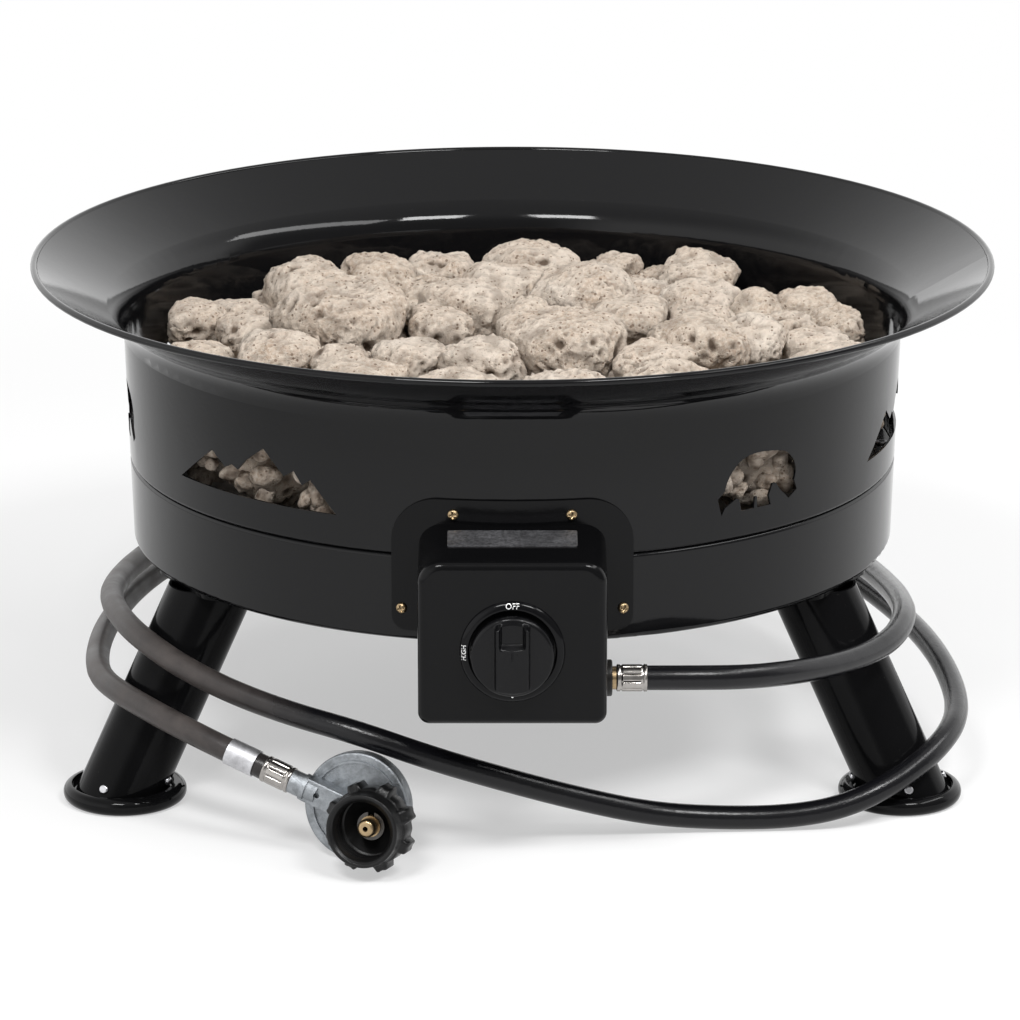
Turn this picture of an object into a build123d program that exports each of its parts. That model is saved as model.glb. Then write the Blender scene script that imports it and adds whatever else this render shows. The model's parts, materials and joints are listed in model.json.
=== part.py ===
from build123d import *
from math import asin, atan, cos, degrees, pi, radians, sin, sqrt, tan
import os
import random

# Portable gas fire bowl. Millimetres, +Z up, the floor at z = 0, the bowl's axis at x = y = 0.
# The control box faces -Y. An azimuth is counted from the front, positive towards +X.

# Bowl and pan
sheet = 1.5
rim_radius = 305.0
rim_height = 316.0
lip_wire_radius = 2.2
bend_height = 282.0
bend_radius = 22.0
seam_height = 189.0
seam_corner_radius = 2.5
seam_flange_width = 18.0
wall_draft = 0.03
pan_radius = 243.0
pan_height = 135.0
pan_corner_radius = 4.0

# Cut-outs in the wall: ridges and bears in turn, spaced as nine places with the box at the first
motif_places = 9
motif_lift = 18.5
motif_turn = -1.0

# Rock tray and burner
tray_rim_radius = 231.5
tray_wall_radius = 224.5
tray_depth = 18.5
tray_hole_radius = 5.0
tray_hole_ring = 190.0
tray_hole_count = 12
burner_radius = 120.0
burner_tube_radius = 9.0
burner_fold = 4.0
burner_wall = 1.2
burner_lift = 6.5
cross_tube_radius = 8.0
hub_radius = 16.0
hub_drop = 11.0
hub_rise = 9.0
port_radius = 1.5
port_count = 24
clip_azimuths = (30, 150, 270)
clip_length = 32.0
clip_width = 12.0

# Legs and feet
leg_azimuths = {"right": 60, "rear": 180, "left": 300}
leg_tube_radius = 26.0
leg_wall = 1.5
leg_slope = 0.54
foot_circle_radius = 280.0
foot_radius = 38.5
foot_height = 11.0
foot_edge_radius = 5.3
foot_pocket_depth = 3.5
foot_pocket_radius = 32.0
spigot_height = 18.0
rivet_lift = 3.0
rivet_turns = (37, 127, 217, 307)
leg_plate_thickness = 3.0
leg_plate_inner = 168.0
leg_plate_outer = 238.0
leg_plate_width = 80.0
leg_plate_corner = 13.0
leg_bolts_at = ((176.5, 0.0), (208.0, 33.5), (208.0, -33.5))

# Control box
box_width = 112.0
box_front = 297.0
box_bottom = 102.0
box_top_front = 203.0
box_top_back = 211.0
box_back = 240.0
box_top_corner = 15.0
box_bottom_corner = 7.0
box_edge_radius = 6.0
box_flange_width = 145.0
box_flange_bottom = 142.0
box_flange_top = 226.0
box_flange_corner = 28.0
box_screw_places = ((35.0, 217.0), (-35.0, 217.0), (66.0, 156.0), (-66.0, 156.0))
plate_width = 77.0
plate_depth = 21.0
plate_thickness = 0.8
plate_distance = 264.0

# Dial, knob and valve, on one axis that runs front to back
dial_height = 148.5
bezel_radius = 33.0
bezel_thickness = 1.2
bezel_bead_radius = 27.8
bezel_bead_width = 3.0
bezel_bead_height = 3.2
knob_radius = 25.0
knob_disc = 4.5
knob_grip_height = 7.0
knob_grip_width = 22.0
knob_gap = 7.5
push_travel = 3.5
stem_radius = 4.0
stem_collar_radius = 6.0
stem_collar = 1.8
tang_width = 4.0
tang_height = 5.0
bonnet_thickness = 3.5
bonnet_width = 46.0
valve_size = 28.0
valve_length = 38.0
valve_bore_radius = 8.0
plug_front = 11.0
plug_length = 22.0
running_clearance = 0.04
mount_screw_spacing = 32.0
spring_wire_radius = 0.45
spring_radius = 5.6
spring_turns = 3.5

# Gas path
inlet_distance = 264.0
inlet_height = 121.0
inlet_radius = 7.0
inlet_reach = 6.0
locknut_radius = 11.0
locknut_thickness = 3.6
ferrule_radius = 8.2
ferrule_length = 18.5
mixer_radius = 11.5
mixer_wall = 1.5
mixer_elbow = 26.0
mixer_mouth = 248.5
orifice_reach = 9.0
strap_distance = 120.0
strap_width = 14.0

# Hose
hose_radius = 7.5
sleeve_wall = 0.9
sleeve_length = 19.0
sleeve_gap = 6.0
hose_last_run = 50.0

# Regulator, in its own frame: u across its face, v up its face, w out of its face
regulator_place = (-94.5, -250.0)
regulator_turn = 18.0
regulator_lean = 8.0
disc_radius = 33.2
disc_rim = 7.0
cover_radius = 32.4
cover_depth = 14.0
outlet_turn = 19.0
outlet_height = 8.0
outlet_reach = 41.0
outlet_radius = 7.4
nut_offset = 18.0
boss_radius = 11.5
boss_height = 12.0
nipple_radius = 5.6
nipple_neck_radius = 6.4
nipple_base_radius = 9.5
nipple_tip = 31.0
nut_back = 14.0
nut_front = 38.5
nut_thread_radius = 14.2
nut_thread_depth = 2.4
nut_thread_pitch = 5.08
nut_collar_radius = 19.2
nut_body_radius = 23.5
nut_lobe_radius = 5.2
nut_lobe_reach = 27.5
nut_lobes = 8

# Fasteners
rivet_radius = 1.6
rivet_head_radius = 2.9
m4_radius = 2.0
m5_radius = 2.5
m6_radius = 3.0
hole_clearance = 0.3
seam_screw_count = 6

# Clearances
seat_gap = 0.2
rock_gap = 0.3
rock_wall_gap = 11.5


def wall_radius(z):
    """Outside radius of the bowl's wall and the pan's band, which share one slightly flared cone."""
    return pan_radius + wall_draft * (z - pan_height)


def motif_base():
    return seam_height + motif_lift


def pressed(points, radii):
    """Section of a pressing: the sheet lies to the right of its outside line."""
    outside = FilletPolyline(*points, radius=radii)
    return make_face(offset(outside, amount=sheet, side=Side.RIGHT))


def revolved(section):
    """Turns a section drawn as (radius, height) about the bowl's axis."""
    return revolve(Plane.XZ * section, axis=Axis.Z)


def turned(solid, azimuth):
    """Turns a solid that was built at the front to another azimuth."""
    return Rot(0, 0, azimuth) * solid


def front_plane(azimuth, radius, height, lean=0.0):
    """A plane on the wall, facing out, with its x to the right as seen from outside."""
    a = radians(azimuth)
    out = Vector(sin(a) * cos(lean), -cos(a) * cos(lean), -sin(lean))
    origin = Vector(sin(a) * radius, -cos(a) * radius, height)
    return Plane(origin=origin, x_dir=Vector(cos(a), sin(a), 0), z_dir=out)


def rod(start, end, radius):
    """A plain cylinder between two points."""
    start = Vector(*start)
    end = Vector(*end)
    along = end - start
    plane = Plane(origin=start, z_dir=along)
    return plane * Cylinder(radius, along.length, align=(Align.CENTER, Align.CENTER, Align.MIN))


def upright(radius, low, high, x=0.0, y=0.0):
    """A vertical cylinder from one height to another."""
    return rod((x, y, low), (x, y, high), radius)


def along_dial(radius, front, back):
    """A cylinder on the dial's axis between two distances in front of the bowl's axis."""
    return rod((0, -front, dial_height), (0, -back, dial_height), radius)


def block(x, y, z):
    """A box given by its low and high values along each axis."""
    centre = ((x[0] + x[1]) / 2, (y[0] + y[1]) / 2, (z[0] + z[1]) / 2)
    return Pos(*centre) * Box(x[1] - x[0], y[1] - y[0], z[1] - z[0])


def hex_prism(across_flats, height):
    """A hexagon's prism standing on the local plane."""
    return extrude(RegularPolygon(across_flats / 2, 6, major_radius=False), height)


def hex_nut(across_flats, height, bore):
    return hex_prism(across_flats, height) - Cylinder(bore, 4 * height)


def pan_head_screw(shank, head, head_height, length, recess):
    """A screw whose head stands on the local plane and whose shank goes down from it."""
    top = extrude(Circle(head), head_height)
    top = fillet(top.edges().group_by(Axis.Z)[-1], head_height * 0.6)
    top -= Pos(0, 0, head_height - recess * 0.5) * hex_prism(recess, head_height)
    return top + extrude(Circle(shank), -length)


# Bowl


def ridge_outline():
    """A ridge of plain peaks, drawn about the middle of its base."""
    points = [(-64, 2), (-30.5, 26.5), (-18.5, 18), (-12.5, 21), (-7.5, 18.5), (0, 26), (14.5, 36),
              (29.5, 21), (37, 25.5), (42.5, 17.5), (48.5, 21.5), (65.5, 2)]
    return make_face(Polyline(*points, close=True))


def bear_outline():
    """A walking bear with its head down, in a few straight and curved stretches."""
    back = Spline((-32.5, 13.5), (-28.5, 23.5), (-20, 31.5), (-10, 34), (4, 33), (15, 30), (21.5, 23.5),
                  (22.3, 11))
    belly = Polyline((22.3, 11), (25, 4.5), (18, 0), (10, 7.5), (6.5, 12), (3.8, 12), (1, 5), (3, -1),
                     (-7.8, -1), (-8.2, 6), (-10, 6))
    front = Polyline((-10, 6), (-10.4, -1), (-20, -1), (-21.8, 6.5), (-24, 7.3), (-32, 2.6), (-34.5, -2),
                     (-37.5, 8.5), (-32.5, 13.5))
    return make_face(Wire([back, *belly.edges(), *front.edges()]))


def fire_bowl():
    lip_r = rim_radius - lip_wire_radius
    lip_z = rim_height - lip_wire_radius
    corner = wall_radius(seam_height)
    path = [(lip_r, lip_z), (wall_radius(bend_height), bend_height), (corner, seam_height),
            (corner - seam_flange_width, seam_height)]
    section = pressed(path, [bend_radius, seam_corner_radius])
    section += Pos(lip_r, lip_z) * Circle(lip_wire_radius)
    bowl = revolved(section)
    step = 360 / motif_places
    for place in range(1, motif_places):
        outline = bear_outline() if place % 2 else ridge_outline()
        plane = front_plane(place * step + motif_turn, wall_radius(motif_base()), motif_base())
        bowl -= extrude(plane * outline, 25, both=True)
    bowl -= box_screw_holes()
    return bowl - seam_screw_holes()


def base_pan():
    corner = wall_radius(seam_height)
    path = [(corner - seam_flange_width, seam_height), (corner, seam_height), (pan_radius, pan_height),
            (0, pan_height)]
    pan = revolved(pressed(path, [seam_corner_radius, pan_corner_radius]))
    pan -= along_dial(mixer_radius + 1, box_front, box_back - 20)
    for azimuth in leg_azimuths.values():
        for radius, side in leg_bolts_at:
            hole = upright(m6_radius + hole_clearance, pan_height - 5, pan_height + 5, side, -radius)
            pan -= turned(hole, azimuth)
    for x in strap_screw_places():
        pan -= upright(m4_radius + hole_clearance, pan_height - 5, pan_height + 5, x, -strap_distance)
    for k in range(8):
        pan -= turned(upright(4, pan_height - 5, pan_height + 5, 0, -110), 22.5 + 45 * k)
    pan -= box_screw_holes()
    return pan - seam_screw_holes()


# Fasteners of the seam and the box


def seam_screw_ring():
    return wall_radius(seam_height) - seam_flange_width * 0.42


def seam_azimuths():
    return [30 + 360 / seam_screw_count * k for k in range(seam_screw_count)]


def seam_screw_holes():
    hole = upright(m5_radius + hole_clearance, seam_height - 8, seam_height + 8, 0, -seam_screw_ring())
    return [turned(hole, azimuth) for azimuth in seam_azimuths()]


def seam_screws():
    screw = Pos(0, -seam_screw_ring(), seam_height + sheet) * pan_head_screw(m5_radius, 4.2, 1.5, 9, 3)
    return [turned(screw, azimuth) for azimuth in seam_azimuths()]


def seam_nuts():
    nut = Pos(0, -seam_screw_ring(), seam_height - sheet - 4) * hex_nut(8, 4, m5_radius + 0.05)
    return [turned(nut, azimuth) for azimuth in seam_azimuths()]


def box_screw_planes(out):
    """Planes square to the wall at the four box screws, a given distance outside it."""
    planes = []
    for x, z in box_screw_places:
        azimuth = degrees(asin(x / wall_radius(z)))
        wall = front_plane(azimuth, wall_radius(z), z, atan(wall_draft))
        planes.append(wall.offset(out))
    return planes


def box_screw_holes():
    hole = Cylinder(m4_radius + hole_clearance, 20)
    return [plane * hole for plane in box_screw_planes(0)]


def box_screws():
    screw = pan_head_screw(m4_radius, 3.3, 2.4, 9, 2.6)
    return [plane * screw for plane in box_screw_planes(2 * seat_gap + sheet)]


def box_nuts():
    nut = hex_nut(7, 3, m4_radius + 0.05)
    return [plane * nut for plane in box_screw_planes(-sheet - seat_gap - 3)]


# Rock tray and burner


def tray_floor():
    return seam_height + sheet + sheet - tray_depth


def burner_height():
    return tray_floor() + burner_lift + burner_tube_radius


def rock_tray():
    top = seam_height + sheet
    low = tray_floor() - sheet
    path = [(tray_rim_radius, top), (tray_wall_radius, top), (tray_wall_radius - 2, low), (0, low)]
    tray = revolved(pressed(path, [2, 4]))
    tray -= upright(mixer_radius + 0.8, low - 5, low + 5)
    for k in range(tray_hole_count):
        tray -= turned(upright(tray_hole_radius, low - 5, low + 5, 0, -tray_hole_ring), 360 / tray_hole_count * k)
    for azimuth in clip_azimuths:
        tray -= turned(upright(m4_radius + hole_clearance, low - 5, low + 5, 0, -burner_radius), azimuth)
    return tray


def burner_ring(grow):
    """The ring's folded section, all round, made larger or smaller by a wall or a gap."""
    half = burner_tube_radius + grow
    fold = half - burner_fold - 0.6 * grow
    corners = [(-half, -fold), (-fold, -half), (fold, -half), (half, -fold),
               (half, fold), (fold, half), (-fold, half), (-half, fold)]
    return revolved(Pos(burner_radius, burner_height()) * make_face(Polyline(*corners, close=True)))


def ring_burner():
    z = burner_height()
    reach = burner_radius - burner_tube_radius / 2
    burner = burner_ring(0) + rod((0, -reach, z), (0, reach, z), cross_tube_radius)
    burner += upright(hub_radius, z - hub_drop, z + hub_rise)
    hollow = burner_ring(-burner_wall) + rod((0, -reach, z), (0, reach, z), cross_tube_radius - burner_wall)
    hollow += upright(mixer_radius - mixer_wall, z - 3.5, z + hub_rise - 2)
    hollow += upright(mixer_radius + 0.15, z - hub_drop - 1, z - 3)
    burner -= hollow
    for k in range(port_count):
        port = upright(port_radius, z, z + 2 * burner_tube_radius, 0, -burner_radius)
        burner -= turned(port, 360 / port_count * (k + 0.5))
    return burner


def burner_clips():
    z = tray_floor()
    top = burner_height() - 2
    half = clip_length / 2
    clip = block((-clip_width / 2, clip_width / 2), (-burner_radius - half, -burner_radius + half), (z, top))
    clip -= upright(m4_radius + 0.05, z - 1, z + burner_lift - 1.2, 0, -burner_radius)
    clip -= burner_ring(0.1)
    return [turned(clip, azimuth) for azimuth in clip_azimuths]


def clip_screws():
    low = tray_floor() - sheet
    screw = Pos(0, -burner_radius, low) * Rot(180, 0, 0) * pan_head_screw(m4_radius, 3.6, 2.2, 6, 2.5)
    return [turned(screw, azimuth) for azimuth in clip_azimuths]


def mixer_path():
    top = burner_height() - 3.2
    points = [(0, -mixer_mouth, dial_height), (0, 0, dial_height), (0, 0, top)]
    elbow = min(mixer_elbow, (top - dial_height) * 0.9)
    return FilletPolyline(*points, radius=elbow)


def mixer_tube():
    path = mixer_path()
    start = Plane(origin=(0, -mixer_mouth, dial_height), z_dir=(0, 1, 0))
    outer = sweep(start * Circle(mixer_radius), path)
    inner = sweep(start * Circle(mixer_radius - mixer_wall), path)
    tube = outer - inner
    for side in (-1, 1):
        tube -= block((side * mixer_radius - 4, side * mixer_radius + 4), (-232, -214), (dial_height - 3, dial_height + 3))
    return tube


def strap_screw_places():
    reach = mixer_radius + seat_gap + sheet + 8
    return (-reach, reach)


def mixer_strap():
    """A saddle over the pipe, screwed to the pan's floor."""
    inner = mixer_radius + seat_gap
    floor = pan_height + sheet
    reach = inner + sheet + 14
    y = (-strap_distance - strap_width / 2, -strap_distance + strap_width / 2)
    feet = block((-reach, reach), y, (floor, floor + sheet))
    sides = block((-inner - sheet, inner + sheet), y, (floor, dial_height))
    arch = rod((0, y[0], dial_height), (0, y[1], dial_height), inner + sheet)
    arch &= block((-reach, reach), y, (dial_height, dial_height + 2 * inner))
    hollow = block((-inner, inner), (y[0] - 1, y[1] + 1), (floor - 1, dial_height))
    bore = rod((0, y[0] - 1, dial_height), (0, y[1] + 1, dial_height), inner)
    strap = feet + sides + arch - hollow - bore
    for x in strap_screw_places():
        strap -= upright(m4_radius + hole_clearance, floor - 1, floor + 5, x, -strap_distance)
    return strap


def strap_screws():
    top = pan_height + 2 * sheet
    screw = pan_head_screw(m4_radius, 3.6, 2.4, 8, 2.6)
    return [Pos(x, -strap_distance, top) * screw for x in strap_screw_places()]


# Legs


def leg_radius_at(z):
    """Distance of a leg's axis from the bowl's axis: it meets the foot's middle at the foot's top."""
    return foot_circle_radius + (foot_height - z) * leg_slope


def leg_cylinder(radius, low, high):
    """A tilted cylinder of the front leg place, cut level at both ends."""
    under = low - 40
    over = high + 40
    whole = rod((0, -leg_radius_at(under), under), (0, -leg_radius_at(over), over), radius)
    reach = foot_circle_radius + 100
    return whole & block((-60, 60), (-reach, 0), (low, high))


def rivet_plane(turn):
    """A plane on the leg's tube, just above the foot, facing out of the tube."""
    tilt = atan(leg_slope)
    forward = Vector(0, -cos(tilt), sin(tilt))
    outward = forward * cos(radians(turn)) + Vector(1, 0, 0) * sin(radians(turn))
    height = foot_height + rivet_lift - leg_tube_radius * outward.Z
    origin = Vector(0, -leg_radius_at(height), height) + outward * leg_tube_radius
    return Plane(origin=origin, z_dir=outward)


def leg(azimuth):
    low = foot_height - foot_pocket_depth
    high = pan_height - leg_plate_thickness
    tube = leg_cylinder(leg_tube_radius, low, high) - leg_cylinder(leg_tube_radius - leg_wall, low - 1, high)
    outline = Pos(0, -(leg_plate_inner + leg_plate_outer) / 2)
    outline *= RectangleRounded(leg_plate_width, leg_plate_outer - leg_plate_inner, leg_plate_corner)
    solid = tube + Pos(0, 0, high) * extrude(outline, leg_plate_thickness)
    for radius, side in leg_bolts_at:
        solid -= upright(m6_radius + hole_clearance, high - 1, pan_height + 1, side, -radius)
    for turn in rivet_turns:
        solid -= rivet_plane(turn) * Cylinder(rivet_radius + 0.05, 3 * leg_wall)
    return turned(solid, azimuth)


def foot(azimuth):
    disc = upright(foot_radius, 0, foot_height, 0, -foot_circle_radius)
    disc = fillet(disc.edges().filter_by(GeomType.CIRCLE), foot_edge_radius)
    floor = foot_height - foot_pocket_depth
    pocket_radius_at = leg_radius_at(floor + foot_pocket_depth / 4)
    disc -= upright(foot_pocket_radius, floor, foot_height + 1, 0, -pocket_radius_at)
    solid = disc + leg_cylinder(leg_tube_radius - leg_wall - seat_gap, floor, floor + spigot_height)
    for turn in rivet_turns:
        solid -= rivet_plane(turn) * Pos(0, 0, -leg_wall - 4) * Cylinder(rivet_radius + 0.05, 9)
    return turned(solid, azimuth)


def foot_rivets():
    head = extrude(Circle(rivet_head_radius), 1.6)
    head = fillet(head.edges().group_by(Axis.Z)[-1], 1.2)
    rivet = Pos(0, 0, 0.05) * (head + extrude(Circle(rivet_radius), -leg_wall - 5))
    rivets = []
    for azimuth in leg_azimuths.values():
        rivets += [turned(rivet_plane(turn) * rivet, azimuth) for turn in rivet_turns]
    return rivets


def leg_bolts():
    low = pan_height - leg_plate_thickness
    bolt = Rot(180, 0, 0) * pan_head_screw(m6_radius, 5.2, 3.5, leg_plate_thickness + sheet + 6, 4)
    places = []
    for azimuth in leg_azimuths.values():
        places += [turned(Pos(side, -radius, low) * bolt, azimuth) for radius, side in leg_bolts_at]
    return places


def leg_nuts():
    nut = hex_nut(10, 5, m6_radius + 0.05)
    places = []
    for azimuth in leg_azimuths.values():
        for radius, side in leg_bolts_at:
            places.append(turned(Pos(side, -radius, pan_height + sheet) * nut, azimuth))
    return places


# Control box


def box_slope():
    return (box_top_back - box_top_front) / (box_front - box_back)


def box_top_at(distance):
    return box_top_front + (box_front - distance) * box_slope()


def rounded_front(distance, inset):
    """The box's front-view outline at a distance from the bowl's axis."""
    half = box_width / 2 - inset
    low = box_bottom + inset
    high = box_top_at(distance) - inset
    corners = [(-half, low), (half, low), (half, high), (-half, high)]
    bottom = box_bottom_corner - inset
    top = box_top_corner - inset
    outline = FilletPolyline(*corners, close=True, radius=[bottom, bottom, top, top])
    plane = Plane(origin=(0, -distance, 0), x_dir=(1, 0, 0), z_dir=(0, -1, 0))
    return plane * make_face(outline)


def box_form(inset):
    back = box_back - 16
    front = box_front - inset
    form = loft([rounded_front(back, inset), rounded_front(front, inset)], ruled=True)
    return fillet(form.faces().sort_by(Axis.Y)[0].edges(), box_edge_radius - inset)


def bowl_side():
    """Everything on the bowl's side of the box: the wall's volume and the space behind the box."""
    low = pan_height - seat_gap
    high = bend_height
    r_low = wall_radius(low) + seat_gap
    r_high = wall_radius(high) + seat_gap
    wall = revolved(make_face(Polyline((0, low), (r_low, low), (r_high, high), (0, high), close=True)))
    return wall + block((-box_width, box_width), (-wall_radius(pan_height) - seat_gap, 0), (0, low))


def box_flange():
    gap = seat_gap
    low = box_flange_bottom
    high = box_flange_top
    ring = [(wall_radius(low) + gap, low), (wall_radius(low) + gap + sheet, low),
            (wall_radius(high) + gap + sheet, high), (wall_radius(high) + gap, high)]
    shell = revolved(make_face(Polyline(*ring, close=True)))
    half = box_flange_width / 2
    corners = [(-half, low), (half, low), (half, high), (-half, high)]
    outline = FilletPolyline(*corners, close=True, radius=[9, 9, box_flange_corner, box_flange_corner])
    plane = Plane(origin=(0, -box_front, 0), x_dir=(1, 0, 0), z_dir=(0, 1, 0))
    mirrored = Plane(origin=(0, -box_front, 0), x_dir=(1, 0, 0), z_dir=(0, -1, 0))
    prism = extrude(mirrored * make_face(outline), -(plane.origin.Y + box_front) - 100)
    return shell & prism


def control_box():
    hollow = box_form(sheet)
    back_wall = wall_radius(pan_height) + seat_gap + sheet
    hollow -= block((-box_width, box_width), (-back_wall, 0), (0, pan_height - seat_gap))
    shell = box_form(0) - hollow - bowl_side()
    box = shell + (box_flange() - hollow)
    box -= along_dial(stem_collar_radius + 0.5, box_front + 5, box_front - 5)
    for x in (-mount_screw_spacing / 2, mount_screw_spacing / 2):
        box -= rod((x, -box_front - 5, dial_height), (x, -box_front + 5, dial_height), m4_radius + hole_clearance)
    side = box_width / 2
    inlet = (-inlet_distance, inlet_height)
    box -= rod((side - 5, *inlet), (side + 5, *inlet), inlet_radius + hole_clearance)
    return box - box_screw_holes()


def box_plate():
    lean = atan(box_slope())
    origin = (0, -plate_distance, box_top_at(plate_distance) + 0.05)
    plane = Plane(origin=origin, x_dir=(1, 0, 0), z_dir=(0, -sin(lean), cos(lean)))
    return extrude(plane * RectangleRounded(plate_width, plate_depth, 1.5), plate_thickness)


# Dial, knob and valve


def dial_bezel():
    front = box_front + bezel_thickness
    bezel = along_dial(bezel_radius, front, box_front)
    bead = along_dial(bezel_bead_radius + bezel_bead_width / 2, box_front + bezel_bead_height, box_front)
    bead -= along_dial(bezel_bead_radius - bezel_bead_width / 2, box_front + bezel_bead_height + 1, box_front - 1)
    bead = fillet(bead.edges().group_by(Axis.Y)[0], 1.2)
    bezel += bead
    bezel -= along_dial(stem_collar_radius + 0.5, front + 1, box_front - 1)
    for x in (-mount_screw_spacing / 2, mount_screw_spacing / 2):
        bezel -= rod((x, -front - 1, dial_height), (x, -box_front + 1, dial_height), m4_radius + hole_clearance)
    return bezel


def knob_back():
    return box_front + knob_gap


def knob_tip():
    return knob_back() + knob_disc + knob_grip_height


def knob():
    back = knob_back()
    disc = along_dial(knob_radius, back + knob_disc, back)
    disc = fillet(disc.edges().group_by(Axis.Y)[0], 1.8)
    tip = knob_tip()
    half = knob_grip_width / 2
    grip = block((-half, half), (-tip, -back - 1), (dial_height - knob_radius, dial_height + knob_radius))
    grip &= along_dial(knob_radius - 2, tip, back)
    grip = fillet(grip.faces().sort_by(Axis.Y)[0].edges(), 1.5)
    solid = disc + grip
    notch = dial_height + knob_radius * 0.62
    solid -= block((-1, 1), (-tip - 1, -tip + 0.7), (notch - 4, notch + 4))
    bore = along_dial(stem_radius + running_clearance, tip - 2.5, back - 1)
    flat = block((-10, 10), (-tip, -back + 1), (dial_height + stem_flat(), dial_height + 10))
    return solid - (bore - flat)


def stem_flat():
    return stem_radius - 1.0


def panel_inside():
    return box_front - sheet


def bonnet_back():
    return panel_inside() - bonnet_thickness


def collar_front():
    return bonnet_back() - seat_gap


def valve_stem():
    front = knob_tip() - 3
    collar = collar_front()
    shaft = along_dial(stem_radius, front, collar - 0.5)
    flat = block((-10, 10), (-front - 1, -box_front), (dial_height + stem_flat() - running_clearance, dial_height + 10))
    stem = shaft - flat + along_dial(stem_collar_radius, collar, collar - stem_collar)
    tail = collar - stem_collar
    end = plug_face() - push_travel - 1
    half = tang_width / 2
    stem += block((-half, half), (-tail, -end), (dial_height - tang_height / 2, dial_height + tang_height / 2))
    return stem


def plug_face():
    return bonnet_back() - plug_front


def valve_spring():
    """Pushes the stem out from the plug. It lies in the bore, round the stem's tang."""
    room = collar_front() - stem_collar - plug_face()
    length = room - 2 * spring_wire_radius - 2 * seat_gap
    pitch = length / spring_turns
    start = plug_face() + spring_wire_radius + seat_gap
    plane = Plane(origin=(0, -start, dial_height), x_dir=(1, 0, 0), z_dir=(0, -1, 0))
    path = Helix(pitch, length, spring_radius)
    wire = sweep(Plane(origin=path @ 0, z_dir=path % 0) * Circle(spring_wire_radius), path)
    return plane * wire


def valve_plug():
    face = plug_face()
    end = face - plug_length
    plug = along_dial(valve_bore_radius - running_clearance, face, end)
    gap = 0.15
    z = (dial_height - tang_height / 2 - gap, dial_height + tang_height / 2 + gap)
    half = tang_width / 2 + gap
    plug -= block((-half, half), (-face - 1, -face + push_travel + 5), z)
    plug -= along_dial(2.5, end + 6, end - 1)
    return plug - rod((0, -end - 4, dial_height), (-20, -end - 4, dial_height), 2.2)


def valve_bonnet():
    z = (dial_height - valve_size / 2, dial_height + valve_size / 2)
    half = bonnet_width / 2
    plate = block((-half, half), (-panel_inside(), -bonnet_back()), z)
    plate = fillet(plate.edges().filter_by(Axis.Y), 5)
    plate -= along_dial(stem_radius + running_clearance, panel_inside() + 1, bonnet_back() - 1)
    for x in (-mount_screw_spacing / 2, mount_screw_spacing / 2):
        plate -= rod((x, -panel_inside() - 1, dial_height), (x, -bonnet_back() + 1, dial_height), m4_radius + 0.05)
    for z in bonnet_screw_heights():
        plate -= rod((0, -panel_inside() - 1, z), (0, -bonnet_back() + 1, z), 1.5 + hole_clearance)
        plate -= rod((0, -panel_inside() - 1, z), (0, -panel_inside() + 2, z), 3)
    return plate


def bonnet_screw_heights():
    reach = valve_bore_radius + 3
    return (dial_height - reach, dial_height + reach)


def bonnet_screws():
    """Two countersunk flush with the bonnet's face."""
    screws = []
    for z in bonnet_screw_heights():
        head = rod((0, -panel_inside() + 0.2, z), (0, -panel_inside() + 2, z), 2.8)
        screws.append(head + rod((0, -panel_inside() + 2, z), (0, -bonnet_back() + 8, z), 1.5))
    return screws


def valve_body():
    front = bonnet_back()
    back = front - valve_length
    half = valve_size / 2
    body = block((-half, half), (-front, -back), (dial_height - half, dial_height + half))
    body = fillet(body.edges().filter_by(Axis.Y), 3)
    arm_y = (-inlet_distance - 9.5, -inlet_distance + 9.5)
    arm_y = (arm_y[0], min(arm_y[1], -back))
    body += block((-9.5, 9.5), arm_y, (inlet_height - 9.5, dial_height))
    bore_end = plug_face() - plug_length - seat_gap
    body -= along_dial(valve_bore_radius, front + 1, bore_end)
    body -= along_dial(m4_radius * 2 + 0.05, bore_end + 1, back - 1)
    body -= upright(2.2, inlet_height, dial_height - valve_bore_radius + 1, 0, -inlet_distance)
    body -= rod((-3, -inlet_distance, inlet_height), (12, -inlet_distance, inlet_height), 6.05)
    for z in bonnet_screw_heights():
        body -= rod((0, -front - 1, z), (0, -front + 9, z), 1.55)
    return body


def valve_mount_screws():
    """Through the bezel and the box's front into the bonnet, hidden by the knob."""
    front = box_front + bezel_thickness
    length = bezel_thickness + sheet + bonnet_thickness
    screws = []
    for x in (-mount_screw_spacing / 2, mount_screw_spacing / 2):
        plane = Plane(origin=(x, -front, dial_height), x_dir=(1, 0, 0), z_dir=(0, -1, 0))
        screws.append(plane * pan_head_screw(m4_radius, 3.5, 1.9, length, 2.4))
    return screws


def orifice():
    back = bonnet_back() - valve_length
    jet = along_dial(4, back + 4, back - orifice_reach)
    plane = Plane(origin=(0, -back, dial_height), x_dir=(1, 0, 0), z_dir=(0, 1, 0))
    jet += plane * hex_prism(11, 3.5)
    jet -= along_dial(2, back + 5, back - orifice_reach + 2)
    return jet - along_dial(0.6, back, back - orifice_reach - 1)


def inlet_end():
    return box_width / 2 + inlet_reach


def inlet_fitting():
    y, z = -inlet_distance, inlet_height
    fitting = rod((0, y, z), (9.5, y, z), 6)
    plane = Plane(origin=(9.5, y, z), x_dir=(0, 1, 0), z_dir=(1, 0, 0))
    fitting += plane * hex_prism(15, 8)
    fitting += rod((17, y, z), (inlet_end(), y, z), inlet_radius)
    return fitting - rod((-1, y, z), (inlet_end() + 1, y, z), 2.5)


def inlet_locknut():
    y, z = -inlet_distance, inlet_height
    side = box_width / 2
    nut = rod((side, y, z), (side + locknut_thickness, y, z), locknut_radius)
    nut = fillet(nut.edges().group_by(Axis.X)[-1], 1.2)
    return nut - rod((side - 1, y, z), (side + locknut_thickness + 1, y, z), inlet_radius + 0.1)


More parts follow.
